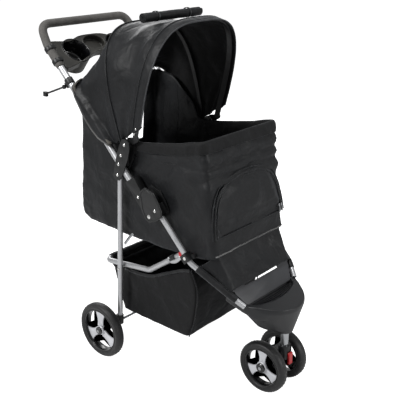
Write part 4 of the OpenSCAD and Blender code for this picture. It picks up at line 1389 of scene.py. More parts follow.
@dataclass
class NoseTray:
    """Hollow-looking nose moulding: slanted band, crescent recess with ribs, broad lip and a neck over the caster."""

    neck_at: tuple[float, float] = (-515.0, 181.0)
    neck_r: float = 21.0

    def ends(self, half: Sequence[Point3]) -> list[Vector]:
        """Both mirrored halves of a line given for x from the side to the middle."""
        return smooth_path([at(*p) for p in half] + [at(-x, y, z) for x, y, z in reversed(half[:-1])], 5)

    def build(self) -> list[Piece]:
        """Makes the nose, its pale band and the ribs in its recess."""
        top = self.ends(
            [(137, -431, 311), (117, -456, 285), (104, -480, 280), (76, -520, 275), (41, -546, 271), (0, -556, 269)]
        )
        lip = self.ends(
            [(137, -428, 303), (118, -455, 275), (105, -482, 268), (78, -521, 264), (42, -546, 260), (0, -556, 258)]
        )
        crest = self.ends(
            [(136, -424, 298), (118, -452, 268), (104, -484, 252), (84, -503, 240), (48, -519, 220), (0, -529, 212)]
        )
        rear = [
            at(x, y, z) for x in (-1, 1)
            for x, y, z in ((x * 137, -416, 311), (x * 137, -414, 294), (x * 96, -440, 250))
        ]
        body = hull_of("nose_tray_shown", top + lip + crest + rear, NOSE_ABS)
        ring = [
            at(self.neck_r * cos(a), self.neck_at[0] + self.neck_r * sin(a), self.neck_at[1])
            for a in (2 * pi * i / 32 for i in range(32))
        ]
        waist = self.ends([(95, -468, 252), (90, -488, 243), (60, -522, 230), (0, -541, 222)])
        middle = self.ends([(68, -472, 207), (60, -497, 202), (36, -521, 196), (0, -532, 192)])
        keel = [at(x, -440, 262) for x in (-92, 92)] + [at(x, -470, 200) for x in (-40, 40)]
        bowl = hull_of(
            "bowl", lip[6:-6] + waist + middle + ring + keel + [at(x, -474, 203) for x in (-30, 30)], NOSE_ABS
        )
        cut(body, [bowl], "UNION")
        scoop = [(100, -456), (97, -463), (90, -474), (76, -483), (60, -489), (30, -495.5), (0, -497)]
        outline = scoop + [(-x, y) for x, y in reversed(scoop[:-1])]
        pocket = plate("pocket", outline, 60, lambda a, b, c: at(a, b, 272 + c), NOSE_ABS, 0)
        deck = [
            (-431, 316), (-459.5, 284), (-490, 281.5), (-522, 276), (-560, 269), (-600, 262), (-600, 400), (-431, 400)
        ]
        above = plate("above", deck, 300, lambda a, b, c: at(c - 150, a, b), NOSE_ABS, 0)
        behind = [at(x, y, z) for x in (-121, 121) for y, z in ((-431, 321), (-463, 279), (-380, 279), (-380, 360))]
        well = hull_of("well", behind, NOSE_ABS)
        bore = cylinder("bore", at(0, -515, 150), at(0, -515, 200), 11.4, NOSE_ABS)
        rails = [
            sweep(
                "r",
                filleted(
                    [
                        at(s * HALF_W, *on_arm(-168, STRUT_V)), at(s * FLANGE[0], *FLANGE[1:]),
                        at(s * PLUG[0], *PLUG[1:])
                    ], [0, 60, 0]
                ), round_section(8.1, 20), NOSE_ABS
            ) for s in (LEFT, RIGHT)
        ]
        cut(body, [above, pocket, well, bore])
        remould(body, 1.9, 5)
        cut(body, rails)
        sharpen(body, 50)
        fit(body, "grey_plastic", "front_frame", "nose_tray")
        return [body, self.band(), self.ribs()]

    def band(self) -> Piece:
        """The slanted plate behind the recess, painted paler as a painted highlight, with its slot for the foot
        panel's hem.
        """
        foot, head = (-461.0, 281.0), (-435.0, 316.0)
        rise = hypot(head[0] - foot[0], head[1] - foot[1])
        along_plate = ((head[0] - foot[0]) / rise, (head[1] - foot[1]) / rise)

        def place(a: float, b: float, c: float) -> Vector:
            """A place across, up and out of the plate."""
            return at(
                a, foot[0] + along_plate[0] * b + along_plate[1] * c,
                foot[1] + along_plate[1] * b - along_plate[0] * c
            )

        outline = [
            (101, 0), (122, rise - 2), (122, rise + 4), (132, rise + 12), (126, rise + 17), (-126, rise + 17),
            (-132, rise + 12), (-122, rise + 4), (-122, rise - 2), (-101, 0)
        ]
        band = plate("nose_band", outline, 4.0, place, BAND_HIGHLIGHT_ABS, 0)
        slot = [(76, rise + 5), (76, rise + 13), (-76, rise + 13), (-76, rise + 5)]
        cut(band, [plate("slot", slot, 30, lambda a, b, c: place(a, b, c - 12), BAND_HIGHLIGHT_ABS, 0)])
        return fit(sharpen(bevel(band, 0.9)), "grey_plastic", "front_frame")

    def ribs(self) -> Piece:
        """Fine ribs that run round the recess's floor."""
        parts = []
        for k in range(5):
            reach = 36 - 7.0 * k
            line = [
                at(x * (1 - 0.02 * k), -461 - reach * cos(radians(90 * x / 101)) ** 0.7, 273.0)
                for x in range(-92, 93, 4)
            ]
            parts.append(sweep("rib", line, [(-0.9, -1), (-0.6, 1.6), (0.6, 1.6), (0.9, -1)], NOSE_ABS))
        return fit(sharpen(join("nose_ribs", parts), 40), "grey_plastic", "front_frame")


def build_rail_sleeves() -> Piece:
    """Black sleeves on the struts' lower rails, which run from the bend to the nose."""
    parts = []
    for side in (LEFT, RIGHT):
        bend, end = at(side * HALF_W, *on_arm(-168, STRUT_V)), at(side * FLANGE[0], *FLANGE[1:])
        path = [bend.lerp(end, t) for t in (0.17, 0.3, 0.5, 0.7, 0.98)]
        path.append(end.lerp(at(side * PLUG[0], *PLUG[1:]), 0.4))
        parts.append(sweep("sleeve", resample(path, 40), round_section(LEG_R + 1.6, 24), TAPE))
    return fit(join("rail_sleeves", parts), "fabric", "front_frame")


def build_links() -> Piece:
    """Flat silver links between the basket tube's clips and its front ends."""
    parts = []
    for side in (LEFT, RIGHT):
        x = side * 164.0
        line = [at(x, -232, 372), at(x, -244, 366), at(x, -262, 372), at(x, -280, 388)]
        parts.append(sweep("link", smooth_path(line, 2), tape_section(11, 2), TUBE, Vector((side, 0, 0))))
    return fit(join("basket_links", parts), "tube_silver", "basket_frame")


def build_dots() -> Piece:
    """Small bright rivets on the bow tabs, repeated by Geometry Nodes."""
    places = [at(side * (HALF_W + 3.2), y, z) for side in (LEFT, RIGHT) for y, z in ((-136, 721), (-128, 705))]
    tree, (_, radius) = start_tree("tab_rivets", Geometry="Geometry", Radius="Float")
    given = put(tree, "NodeGroupInput")
    dome = put(tree, "GeometryNodeMeshUVSphere", {"Segments": 20, "Rings": 12, "Radius": given.outputs["Radius"]})
    flat = put(tree, "GeometryNodeTransform", {"Geometry": dome, "Scale": (0.45, 1.0, 1.0)})
    copies = put(tree, "GeometryNodeInstanceOnPoints", {"Points": given.outputs["Geometry"], "Instance": flat})
    finish_tree(tree, copies, NICKEL)
    holder = new_object("bow_tab_rivets", places, [], NICKEL)
    grow(holder, tree, {radius: 3.4 * MM})
    holder.data.shade_smooth()
    return fit(holder, "rivet_steel", "canopy_front")


# --------------------------------------------------------------------------- soft goods


def ring(half: float, front: float, rear: float, corner: float, counts: tuple[int, int, int]) -> list[tuple]:
    """A rounded rectangle seen from above, from its front right corner round by the left.

    Args:
        half: Half its width.
        front: Its front, along Y.
        rear: Its rear, along Y.
        corner: Radius of its corners.
        counts: Steps across, round a corner and along a side.

    Returns:
        (x, y, outward x, outward y) for each step.
    """
    across, turn, down = counts
    inner, low, high = half - corner, front + corner, rear - corner
    line: list[tuple] = [(mix(-inner, inner, i / across), front, 0.0, -1.0) for i in range(across)]

    def round_corner(x: float, y: float, start: float) -> list[tuple]:
        """A quarter turn about a place from a heading in degrees."""
        found = []
        for i in range(turn):
            a = radians(start + 90 * i / turn)
            found.append((x + corner * cos(a), y + corner * sin(a), cos(a), sin(a)))
        return found

    line += round_corner(inner, low, 270)
    line += [(half, mix(low, high, i / down), 1.0, 0.0) for i in range(down)]
    line += round_corner(inner, high, 0)
    line += [(mix(inner, -inner, i / across), rear, 0.0, 1.0) for i in range(across)]
    line += round_corner(-inner, high, 90)
    line += [(-half, mix(high, low, i / down), -1.0, 0.0) for i in range(down)]
    line += round_corner(-inner, low, 180)
    return line


def soft(obj: Piece, node: str, body: str) -> Piece:
    """Hides a cloth piece's CAD node and lets the piece ride its body."""
    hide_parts(node)
    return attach(obj, body)


def crumple_on_fold(obj: Piece, level: float) -> None:
    """Gives a soft piece its own copy of its mesh."""
    tuple(at(0, -140, level))
    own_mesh(obj)


def inward_side(obj: Piece, centre: Vector) -> float:
    """Which side of a sheet faces its middle: -1 if the faces look away from it, else 1."""
    looks = sum(p.normal.dot((p.center - centre).normalized()) * p.area for p in obj.data.polygons)
    return -1 if looks > 0 else 1


@dataclass
class Cabin:
    """The fabric cabin: walls, floor, rim cuff, seams and pale piping."""

    half: float = 154.8
    rear: float = 107.0
    front_low: float = -392.0
    front_high: float = -352.0
    floor_z: float = 413.0
    rim_z: float = 716.0
    corner: float = 15.0
    counts: tuple[int, int, int] = (30, 5, 58)
    levels: int = 44
    rear_lean: float = 24.0
    door: tuple = (
        (455, 150), (467, 150), (504, 145), (541, 136), (564, 125), (583, 108), (594, 87), (601, 62), (608, 28)
    )
    rim: tuple = (
        (-352, 716), (-311, 709), (-277, 700), (-206, 688), (-151, 680), (-93, 674), (-72, 681), (-45, 725), (0, 775),
        (40, 800), (101, 808)
    )
    hem: tuple = (
        (-392, 414), (-379, 408), (-327, 398), (-233, 394), (-195, 395), (-77, 395), (7, 401), (73, 404), (107, 418)
    )

    def front_at(self, z: float) -> float:
        """Where the leaning front wall is at a height."""
        return mix(self.front_low, self.front_high, (z - self.floor_z) / (self.rim_z - self.floor_z))

    def crumple(self, place: Vector, nx: float) -> float:
        """How far the cloth stands in or out at a place, in millimetres.

        Args:
            place: A place on the wall before its folds.
            nx: How far the wall faces sideways there, from -1 to 1.

        Returns:
            Millimetres outwards.
        """
        y, z = place.y / MM - AXLE_SHIFT, place.z / MM
        move = 4.2 * wave(place, 95, 1.0) + 3.6 * fold(place, 62, 2.0) - 2.4
        away, up = y + 371, z - 640
        reach = hypot(away, up)
        fan = sin(9 * atan2(-up, away + 30) + 1.4 * wave(place, 60, 3)) * exp(-reach / 120)
        move += 4.4 * fan * (1 - abs(nx) * 0.2)
        droop = smooth(z, 396, 440) * (1 - smooth(z, 440, 520))
        move += 2.2 * droop * sin(y / 21 + 2 * wave(place, 80, 5))
        if abs(nx) > 0.7:
            room = mix(0.4, 5.0, smooth(-y, 215, 290))
            move = min(move - 1.4, room)
        return move

    def point(self, column: int, z: float, out: float = 0.0) -> Vector:
        """The wall's place at a column and height, with its folds, and out millimetres off it.

        Args:
            column: Steps round the wall from its front right corner.
            z: Height.
            out: Distance off the cloth.

        Returns:
            The place.
        """
        rear = self.rear + self.rear_lean * (1 - smooth(z, 405, 760))
        line = ring(self.half, self.front_at(z), rear, self.corner, self.counts)
        x, y, nx, ny = line[column % len(line)]
        place = at(x, y, z)
        push = self.crumple(place, nx) + out
        return place + Vector((nx, ny, 0)) * push * MM

    def walls(self) -> Piece:
        """The walls from hem to rim, open at the door and at the rolled-up rear panel."""
        top = ring(self.half, self.front_high, self.rear, self.corner, self.counts)
        low = ring(self.half, self.front_low, self.rear, self.corner, self.counts)
        rows, heights = [], []
        for j in range(self.levels + 1):
            t = j / self.levels
            row, levels = [], []
            for i in range(len(top)):
                z = mix(along(self.hem, low[i][1]), along(self.rim, top[i][1]), t)
                row.append(self.point(i, z))
                levels.append(z)
            rows.append(row)
            heights.append(levels)

        def keep(j: int, i: int) -> bool:
            """Leaves out what the door covers and what the rear panel has left open."""
            x, _, _, ny = top[i]
            z = (heights[j][i] + heights[j + 1][i]) / 2
            if ny > 0.9 and abs(x - 5) < 98 and z > 592:
                return False
            wide = along(self.door, z) - 14
            return not (ny < -0.9 and abs(x + 5) < wide and 474 < z < 596)

        walls = sheet_of("walls", rows, CLOTH, True, True, keep)
        thicken(walls, 2.4, -1, LINING)
        inset = 3.0
        sole = ring(
            self.half - inset, self.front_low + inset, self.rear + self.rear_lean - inset, self.corner, self.counts
        )
        base = [
            [at(x * s, mix(-142, y, s), self.floor_z + 1 - 1.5 * (1 - s)) for x, y, _, _ in sole]
            for s in (1, 0.66, 0.33, 0.02)
        ]
        under = sheet_of("sole", base, LINING, True)
        thicken(under, 2.0, 1)
        return join("cabin_shown", [walls, under])

    def rim_line(self, out: float, count: int = 150) -> list[tuple]:
        """The open run round the rim, from beside one bracket round the front to the other."""
        half, front, corner = self.half + out, self.front_high - out, self.corner + out
        line = [at(-half, -97, 0), at(-half, front + corner, 0)]
        line += [
            at(-half + corner - corner * cos(a), front + corner - corner * sin(a), 0)
            for a in (radians(90 * i / 8) for i in range(1, 9))
        ]
        mirrored = [Vector((-p.x, p.y, 0)) for p in reversed(line)]
        return resample(line + mirrored, count)

    def cuff(self) -> list[Piece]:
        """The padded band folded over the rim, gathered along its lower seam."""
        profile = [
            (0.2, 0.0), (3.0, 0.01), (5.6, 0.09), (7.4, 0.25), (8.2, 0.45), (7.4, 0.68), (5.8, 0.86), (2.8, 0.97),
            (0.4, 1.01), (-2.2, 0.99), (-4.2, 0.93), (-4.8, 0.8), (-4.6, 0.6), (-4.0, 0.46)
        ]
        drop = ((-363, 60), (-329, 56), (-278, 57), (-225, 54), (-170, 51), (-120, 44), (-97, 38))
        count = 190
        line = self.rim_line(0, count)
        rows = []
        for out, share in profile:
            row = []
            for i, place in enumerate(line):
                y = place.y / MM - AXLE_SHIFT
                ahead, behind = line[min(i + 1, count - 1)], line[max(i - 1, 0)]
                side = (ahead - behind).cross(UP).normalized() * -1
                top = along(self.rim, y) + 2
                z = top - along(drop, y) * (1 - share)
                room = smooth(-y, 104, 165)
                spot = Vector((place.x, place.y, z * MM))
                gather = 0.9 * sin(i * 0.9 + 5 * wave(spot, 60, 4)) * exp(-((share - 0.12) / 0.2) ** 2)
                puff = 2.2 * wave(spot, 48, 8) + 1.6 * fold(spot, 36, 9)
                push = out * mix(0.35, 1.0, room) + (gather + puff * min(out, 4) / 4) * room
                lean = (self.front_at(z) - self.front_high) * smooth(-y, 97, 352)
                row.append(Vector((spot.x, spot.y + lean * MM, spot.z)) + side * push * MM)
            rows.append(row)
        cuff = sheet_of("rim_cuff", rows, CLOTH, False, False)
        thicken(cuff, 1.6, -1, LINING)
        subdivide(cuff)
        edge = [p.lerp(rows[1][i], 0.5) for i, p in enumerate(rows[0])]
        welt = sweep("rim_cuff_welt", edge, round_section(1.5, 8), TAPE)
        return [cuff, welt]

    def seam(self, column: int, low: float, high: float, finish: Finish, radius: float) -> Piece:
        """A welt up the wall at a column."""
        steps = 40
        line = [self.point(column, mix(low, high, i / steps), 0.2) for i in range(steps + 1)]
        return sweep("welt", line, round_section(radius, 8), finish, Vector((0, 1, 0.1)))

    def trims(self) -> list[Piece]:
        """Corner and side welts, the hem's tape and the pale piping along the front."""
        across, turn, down = self.counts
        columns = {"side_left": across + turn, "rear": 2 * across + 3 * turn + down}
        welts = []
        for y in (6.0, -117.0):
            share = (y - (self.front_low + self.corner)) / (self.rear - self.front_low - 2 * self.corner)
            step = round(share * down)
            top = along(self.rim, y) - (30 if y < -97 else 0)
            welts.append(self.seam(columns["side_left"] + step, 404, top, TAPE, 1.1))
            welts.append(self.seam(columns["rear"] + down - step, 404, top, TAPE, 1.1))
        for column in (across + 2, len(ring(1, 0, 1, 0.1, self.counts)) - 3):
            welts.append(self.seam(column, 414, 662, TAPE, 1.6))
        lines = ring(self.half, self.front_low, self.rear, self.corner, self.counts)
        hem = [self.point(i, along(self.hem, lines[i][1]) + 0.6, 0.3) for i in range(len(lines))]
        welts.append(sweep("hem", hem, [(-1.2, -2.4), (-1.2, 2.4), (1.4, 2.4), (1.4, -2.4)], TAPE, UP, True))
        seams = join("cabin_seams", welts)
        front = [self.point(i, 416, 1.6) for i in range(-2, across + 3)]
        piping = sweep("cabin_front_piping", smooth_path(front, 4), round_section(2.2, 10), PIPING)
        return [seams, piping]

    def build(self) -> None:
        """Makes the cabin and lets it ride the front frame."""
        walls = soft(self.walls(), "cabin_body", "front_frame")
        crumple_on_fold(walls, self.floor_z)
        for piece in [*self.cuff(), *self.trims()]:
            fit(piece, "fabric", "front_frame")
            crumple_on_fold(piece, self.floor_z)


@dataclass
class Door:
    """The arched front door with its zip, padding and two pulls."""

    cabin: Cabin
    low: float = 463.0
    high: float = 609.0
    pulls_x: tuple[float, float] = (129.0, 140.0)

    def width(self, z: float) -> float:
        """Half the door's width at a height."""
        return along([*self.cabin.door, (self.high, 20)], z)

    def place(self, x: float, z: float, out: float) -> Vector:
        """A place on the door, out millimetres in front of the front wall."""
        return at(x, self.cabin.front_at(z) - out, z)

    def panel(self) -> Piece:
        """The padded panel, slack at its foot."""
        high, wide = 40, 56
        rows = []
        for j in range(high + 1):
            t = j / high
            z = mix(self.low, self.high, 1 - (1 - t) ** 1.35)
            row = []
            for i in range(wide + 1):
                s = 2 * i / wide - 1
                x = s * self.width(z)
                edge = min(1 - abs(s), t * 0.9, (1 - t) * 0.8 + 0.02)
                spot = self.place(x, z, 0)
                puff = 10.0 * smooth(edge, 0, 0.34) * (1 + 0.28 * s)
                crease = 1.8 * sin(
                    z / 5.2 + 1.6 * wave(spot, 90, 2)
                ) * exp(-((z - 484) / 20) ** 2) * smooth(edge, 0, 0.2)
                out = 3.4 + puff + crease + (2.8 * fold(spot, 70, 6) + 1.8 * wave(spot, 40, 7)) * smooth(edge, 0, 0.2)
                row.append(self.place(x, z, out))
            rows.append(row)
        panel = sheet_of("front_door_shown", rows, CLOTH)
        return thicken(panel, 2.6, -1, LINING)

    def outline(self, inset: float, out: float) -> list[Vector]:
        """The zip's line, from one foot over the top to the other."""
        right = [
            (z, self.width(z)) for z in (463, 480, 504, 524, 541, 553, 564, 574, 583, 589, 594, 598, 601, 605, 608)
        ]
        line = [(-w + inset, z - inset * smooth(z, 540, 600)) for z, w in right]
        line += [(0, self.high - inset)] + [(-x, z) for x, z in reversed(line)]
        return smooth_path([self.place(x, z, out) for x, z in line], 3)

    def build(self) -> None:
        """Makes the door and what rides on it."""
        panel = soft(self.panel(), "front_door", "door")
        lean = Vector((0, -1, 0.13))
        inner = sweep("inner", self.outline(7, 6.0), round_section(1.7, 8), TAPE, lean)
        chain = sweep(
            "chain", self.outline(0.5, 3.8),
            [(-3.4, -0.8), (-3.4, 0.8), (-1, 2.2), (1, 2.2), (3.4, 0.8), (3.4, -0.8)], TAPE, lean
        )
        foot = [self.place(x, self.low, 4.4) for x in range(-150, 151, 6)]
        seam = sweep("foot", foot, round_section(1.6, 8), TAPE, lean)
        trim = join("door_zip", [inner, chain, seam])
        outer = sweep("door_frame_tape", self.outline(-8, 2.4), round_section(1.8, 8), TAPE, lean)
        parts = []
        for x in self.pulls_x:
            tab = [(-2.2, 0), (2.2, 0), (2.6, -12), (1.6, -17), (-1.6, -17), (-2.6, -12)]
            parts.append(plate("tab", tab, 1.2, lambda a, b, c, x=x: self.place(x + a, 480 + b, 11.5 + c), ROD, 0.3))
            slider = [(-3, -3), (3, -3), (3, 5), (-3, 5)]
            parts.append(
                plate("slider", slider, 3.5, lambda a, b, c, x=x: self.place(x + a, 482 + b, 8.5 + c), NICKEL, 0.8)
            )
        pulls = join("door_pulls_shown", parts)
        fit(pulls, "axle_steel", "door", "door_zip_pulls")
        fit(trim, "fabric", "door")
        fit(outer, "fabric", "front_frame")
        for piece in (panel, trim, pulls, outer):
            crumple_on_fold(piece, self.cabin.floor_z)


def build_foot_panel() -> Piece:
    """The fabric panel from the cabin's foot down to the nose, wrapped on the rails."""
    rows, high, wide = [], 26, 48
    for j in range(high + 1):
        t = j / high
        row = []
        for i in range(wide + 1):
            s = 2 * i / wide - 1
            edge = abs(s)
            half = mix(153, 136, t)
            y, z = mix(-389, -436, t), mix(415, 330, t)
            wing = smooth(edge, 0.9, 1.0)
            rail_y, rail_z = mix(-374, -431, t), mix(372, 322, t)
            spot = at(s * half, y, z)
            sag = 6 * (1 - edge**2) * sin(pi * t) + 1.6 * fold(spot, 60, 4) + 1.4 * wave(spot, 34, 5)
            if t in (0.0, 1.0):
                sag = 0
            wrap = wing * mix(1.0, 0.75, t)
            row.append(
                at(
                    s * mix(half, mix(166, 138, t), wing), mix(y + sag * 0.8, mix(-350, rail_y, t), wrap),
                    mix(z - sag * 0.4, mix(382, rail_z, t), wrap)
                )
            )
        rows.append(row)
    panel = sheet_of("foot_panel_shown", rows, CLOTH, flip=True)
    thicken(panel, 2.2, -1)
    return soft(panel, "foot_panel", "front_frame")


@dataclass(frozen=True)
class Arch:
    """One round-shouldered line of the hood, in its own leaning plane."""

    base: tuple[float, float]
    lean: float
    half: float
    rise: float
    power: float = 3.4
    ahead: float = 0.0
    foot: float = 0.0

    def points(self, side: int, top: int) -> list[Vector]:
        """Samples from the right foot over the top to the left foot.

        Args:
            side: Steps from a foot to the middle of a shoulder.
            top: Steps between the shoulders.

        Returns:
            2 * side + top + 1 places.
        """
        lean = radians(self.lean)
        fine = []
        for i in range(361):
            a = radians(90 + 90 * (i / 360))
            up = sin(a) ** (2 / self.power) if i < 360 else 0.0
            x = -self.half * abs(cos(a)) ** (2 / self.power)
            pinch = 1 - (1 - HALF_W / self.half) * (1 - up) ** 2
            fine.append((x * pinch, up * self.rise, i))
        upper = [p for p in fine if p[2] <= 180]
        lower = [p for p in fine if p[2] >= 180]

        def place(x: float, up: float) -> Vector:
            """A place across and up the arch's plane."""
            y = self.base[0] - up * sin(lean) - self.ahead * cos(lean)
            return at(x, y, self.base[1] + up * cos(lean) - self.ahead * sin(lean))

        down = [
            place(x, max(up, self.foot)) for x, up, _ in lower if up >= self.foot
        ] + [place(lower[-1][0], self.foot)]
        over = [place(x, up) for x, up, _ in upper]
        right = list(reversed(resample(down, side + 1)))
        half_top = list(reversed(resample(over, top // 2 + 1)))
        quarter = right[:-1] + half_top
        return quarter + [Vector((-p.x, p.y, p.z)) for p in reversed(quarter[:-1])]


@dataclass
class Hood:
    """The hood: one continuous sheet over two bows, with sleeve, piping, binding and a rolled rear flap."""

    half: float = 184.8
    opening_half: float = 98.0
    arm_cover: float = 189.5
    side: int = 34
    top: int = 48
    slump: tuple = ((0, 0), (0.2, 22), (0.35, 27), (0.55, 27), (0.7, 21), (0.83, 16), (0.93, 6), (1, 0))

    def rows(self) -> tuple[list[list[Vector]], int, int]:
        """The sheet's rows from the lip to the rear edge, and the rows of the middle bow and the sleeve's end."""
        front = ((-127.9, 689.3), 14.4, self.half, 317.1)
        keys = [
            (Arch(*front, 3.4, 18.0, 44), 2), (Arch(*front, 3.4, 12.5, 34), 3), (Arch(*front, 3.4, 0.0, 24), 3),
            (Arch(*front, 3.4, -11.5, 16), 13), (Arch((-96, 681), 2.5, self.half - 0.8, 308.0, 3.4, 0, 8), 12),
            (Arch((-73.9, 676.3), -14, self.half, 309.1, 3.4, 0, 0), 26),
            (Arch((-45, 663), -43.5, self.half - 0.6, 218.0, 7.0, 0, 0), 0)
        ]
        lines = [key.points(self.side, self.top) for key, _ in keys]
        rows: list[list[Vector]] = []
        marks = []
        for i in range(len(keys) - 1):
            marks.append(len(rows))
            for k in range(keys[i][1]):
                t = k / keys[i][1]
                rows.append([a.lerp(b, t) for a, b in zip(lines[i], lines[i + 1])])
        rows.append(lines[-1])
        self.shape(rows, marks)
        return rows, marks[5], marks[3]

    def shape(self, rows: list[list[Vector]], marks: list[int]) -> None:
        """Lets the cloth sag between the bows, raises the sleeve and adds folds.

        Args:
            rows: The sheet, which is changed in place.
            marks: The row at which each arch stands.
        """
        high, wide = len(rows), len(rows[0])
        flat = [[p.copy() for p in row] for row in rows]
        last = high - 1
        for j in range(high):
            for i in range(wide):
                down = flat[min(j + 1, last)][i] - flat[max(j - 1, 0)][i]
                over = flat[j][min(i + 1, wide - 1)] - flat[j][max(i - 1, 0)]
                out = over.cross(down).normalized()
                spot = flat[j][i]
                if out.dot(spot - Vector((0, 0.09, 0.72))) < 0:
                    out = -out
                if j < marks[3]:
                    lift = 1.5 if marks[1] < j < marks[3] - 1 else (0.3 if j != marks[3] - 1 else -0.5)
                    rows[j][i] = spot + out * (lift + 0.5 * wave(spot, 30, 2)) * MM
                    continue
                if j < marks[5]:
                    t = (j - marks[3]) / (marks[5] - marks[3])
                else:
                    t = (j - marks[5]) / (last - marks[5])
                belly = sin(pi * t)
                roof = smooth(abs(out.z), 0.2, 0.9)
                sag = belly * mix(3.2, 8.0, roof)
                edge = min(i, wide - 1 - i)
                strain = 3.2 * sin(edge * 0.33 + j * 0.42 + 1.5 * wave(spot, 90, 4)) * exp(-edge / 14)
                creases = 4.2 * fold(spot, 80, 3) + 2.6 * wave(spot, 50, 6) + strain
                moved = spot + out * (-sag + creases * smooth(belly, 0, 0.5) + (0.3 if t == 0 else 0)) * MM
                if j > marks[5]:
                    drop = along(self.slump, (spot.z / MM - 663) / 153) * smooth(abs(spot.x) / MM, 120, 165) * t**1.6
                    moved += Vector((0, 0.72, -0.69)) * drop * MM
                    lean_y, lean_z = moved.y / MM - AXLE_SHIFT - FOLD_PIVOT[0], moved.z / MM - FOLD_PIVOT[1]
                    above = lean_z * cos(ARM_SLOPE) - lean_y * sin(ARM_SLOPE)
                    wide_at = abs(moved.x) / MM
                    if wide_at > 120:
                        wide_at = mix(wide_at, max(wide_at, self.arm_cover), smooth(26 - above, 0, 10))
                        moved.x = copysign(wide_at * MM, moved.x)
                rows[j][i] = moved

    def build(self) -> None:
        """Makes the hood and its trims."""
        rows, middle, sleeve = self.rows()
        last, wide = len(rows) - 1, len(rows[0])

        def keep(j: int, i: int) -> bool:
            """Leaves the rear opening under the rolled flap."""
            spot = (rows[j][i] + rows[j + 1][min(i + 1, wide - 1)]) / 2
            return not (abs(spot.x) < self.opening_half * MM and spot.y / MM - AXLE_SHIFT > 34 and spot.z > 0.75)

        cloth = sheet_of("hood_shown", rows, CLOTH, keep=keep)
        centre = at(0, -50, 760)
        thicken(cloth, 2.2, inward_side(cloth, centre), LINING)
        outward(cloth)
        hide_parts("hood_fabric")
        # The lip's paler edge finish is a painted highlight along the hood's front edge.
        welts = (
            ("middle_piping", middle, 1.2, 2.1, 8, TAPE), ("sleeve_seam", sleeve, 0.4, 0.9, 6, TAPE),
            ("lip", 0, 0.2, 1.7, 8, CLOTH_EDGE)
        )
        trims = []
        for name, row, off, radius, sides, finish in welts:
            line = [p + (p - centre).normalized() * off * MM for p in rows[row]]
            trims.append(sweep(name, line, round_section(radius, sides), finish))
        sideways = [
            Vector((copysign(1, p.x), 0.02, 0.02)) if abs(p.x) > 0.176 else Vector((0, 0.55, 0.84))
            for p in rows[last]
        ]
        trims.append(
            sweep(
                "rear_binding", [p - (p - centre).normalized() * 0.003 for p in rows[last]],
                [(-7, -2.2), (-7, 1.6), (7, 1.6), (7, -2.2)], BINDING, sideways
            )
        )
        for piece in [cloth, *trims]:
            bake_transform(piece)
        self.frame()
        self.flap()

    def frame(self) -> None:
        """Tape down both sides of the rear opening."""
        line = [at(-99, 102, 822), at(-99, 70, 862), at(-99, 38, 902)]
        parts = []
        for side in (LEFT, RIGHT):
            under = [Vector((side * p.x, p.y, p.z - 0.002)) for p in line]
            parts.append(sweep("edge", under, tape_section(12, 2.4), TAPE, Vector((0, 0.75, 0.66))))
        fit(join("rear_opening_tape", parts), "fabric", "upper_frame")

    def flap(self) -> None:
        """The rear panel, rolled up on the roof and tied."""
        turns, steps, thick, tie_x = 2.75, 88, 2.5, 62.0
        outer, inner = [], []
        for i in range(steps + 1):
            t = i / steps
            a = 2 * pi * turns * t + 2.2
            r = mix(3.2, 14.6, t)
            outer.append((r * cos(a), r * sin(a)))
            inner.append(((r - thick) * cos(a), (r - thick) * sin(a)))
        corners = [Vector(c) for c in frame["nodes"]["rolled_flap"].bound_box]
        middle = sum(corners, Vector()) / 8 / MM
        centre, half = (middle.y - AXLE_SHIFT, middle.z + 1.0), round(max(c.x for c in corners) / MM)
        line = [at(x, *centre) for x in range(-half, half + 1, 4)]
        roll = sweep("rolled_flap_shown", line, outer + inner[::-1], CLOTH, UP)
        for vertex in roll.data.vertices:
            off = Vector((0, vertex.co.y - line[0].y, vertex.co.z - line[0].z))
            reach = off.length / MM
            pinched = exp(-(((abs(vertex.co.x) / MM - tie_x) / 9) ** 2))
            crease = 0.7 * wave(vertex.co, 26, 3) + 0.5 * fold(vertex.co, 30, 4)
            move = crease * reach / 15 - 1.5 * pinched * reach / 15
            vertex.co += off.normalized() * move * MM
        ties = []
        for x in (-tie_x, tie_x):
            ties.append(revolve("tie", [(-4, 12.4), (-4, 13.9), (4, 13.9), (4, 12.4)], at(x, *centre), TAPE, 40))
        tie = join("flap_ties", ties)
        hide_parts("rolled_flap")
        for piece in (roll, tie):
            fit(piece, "fabric", "canopy_front")


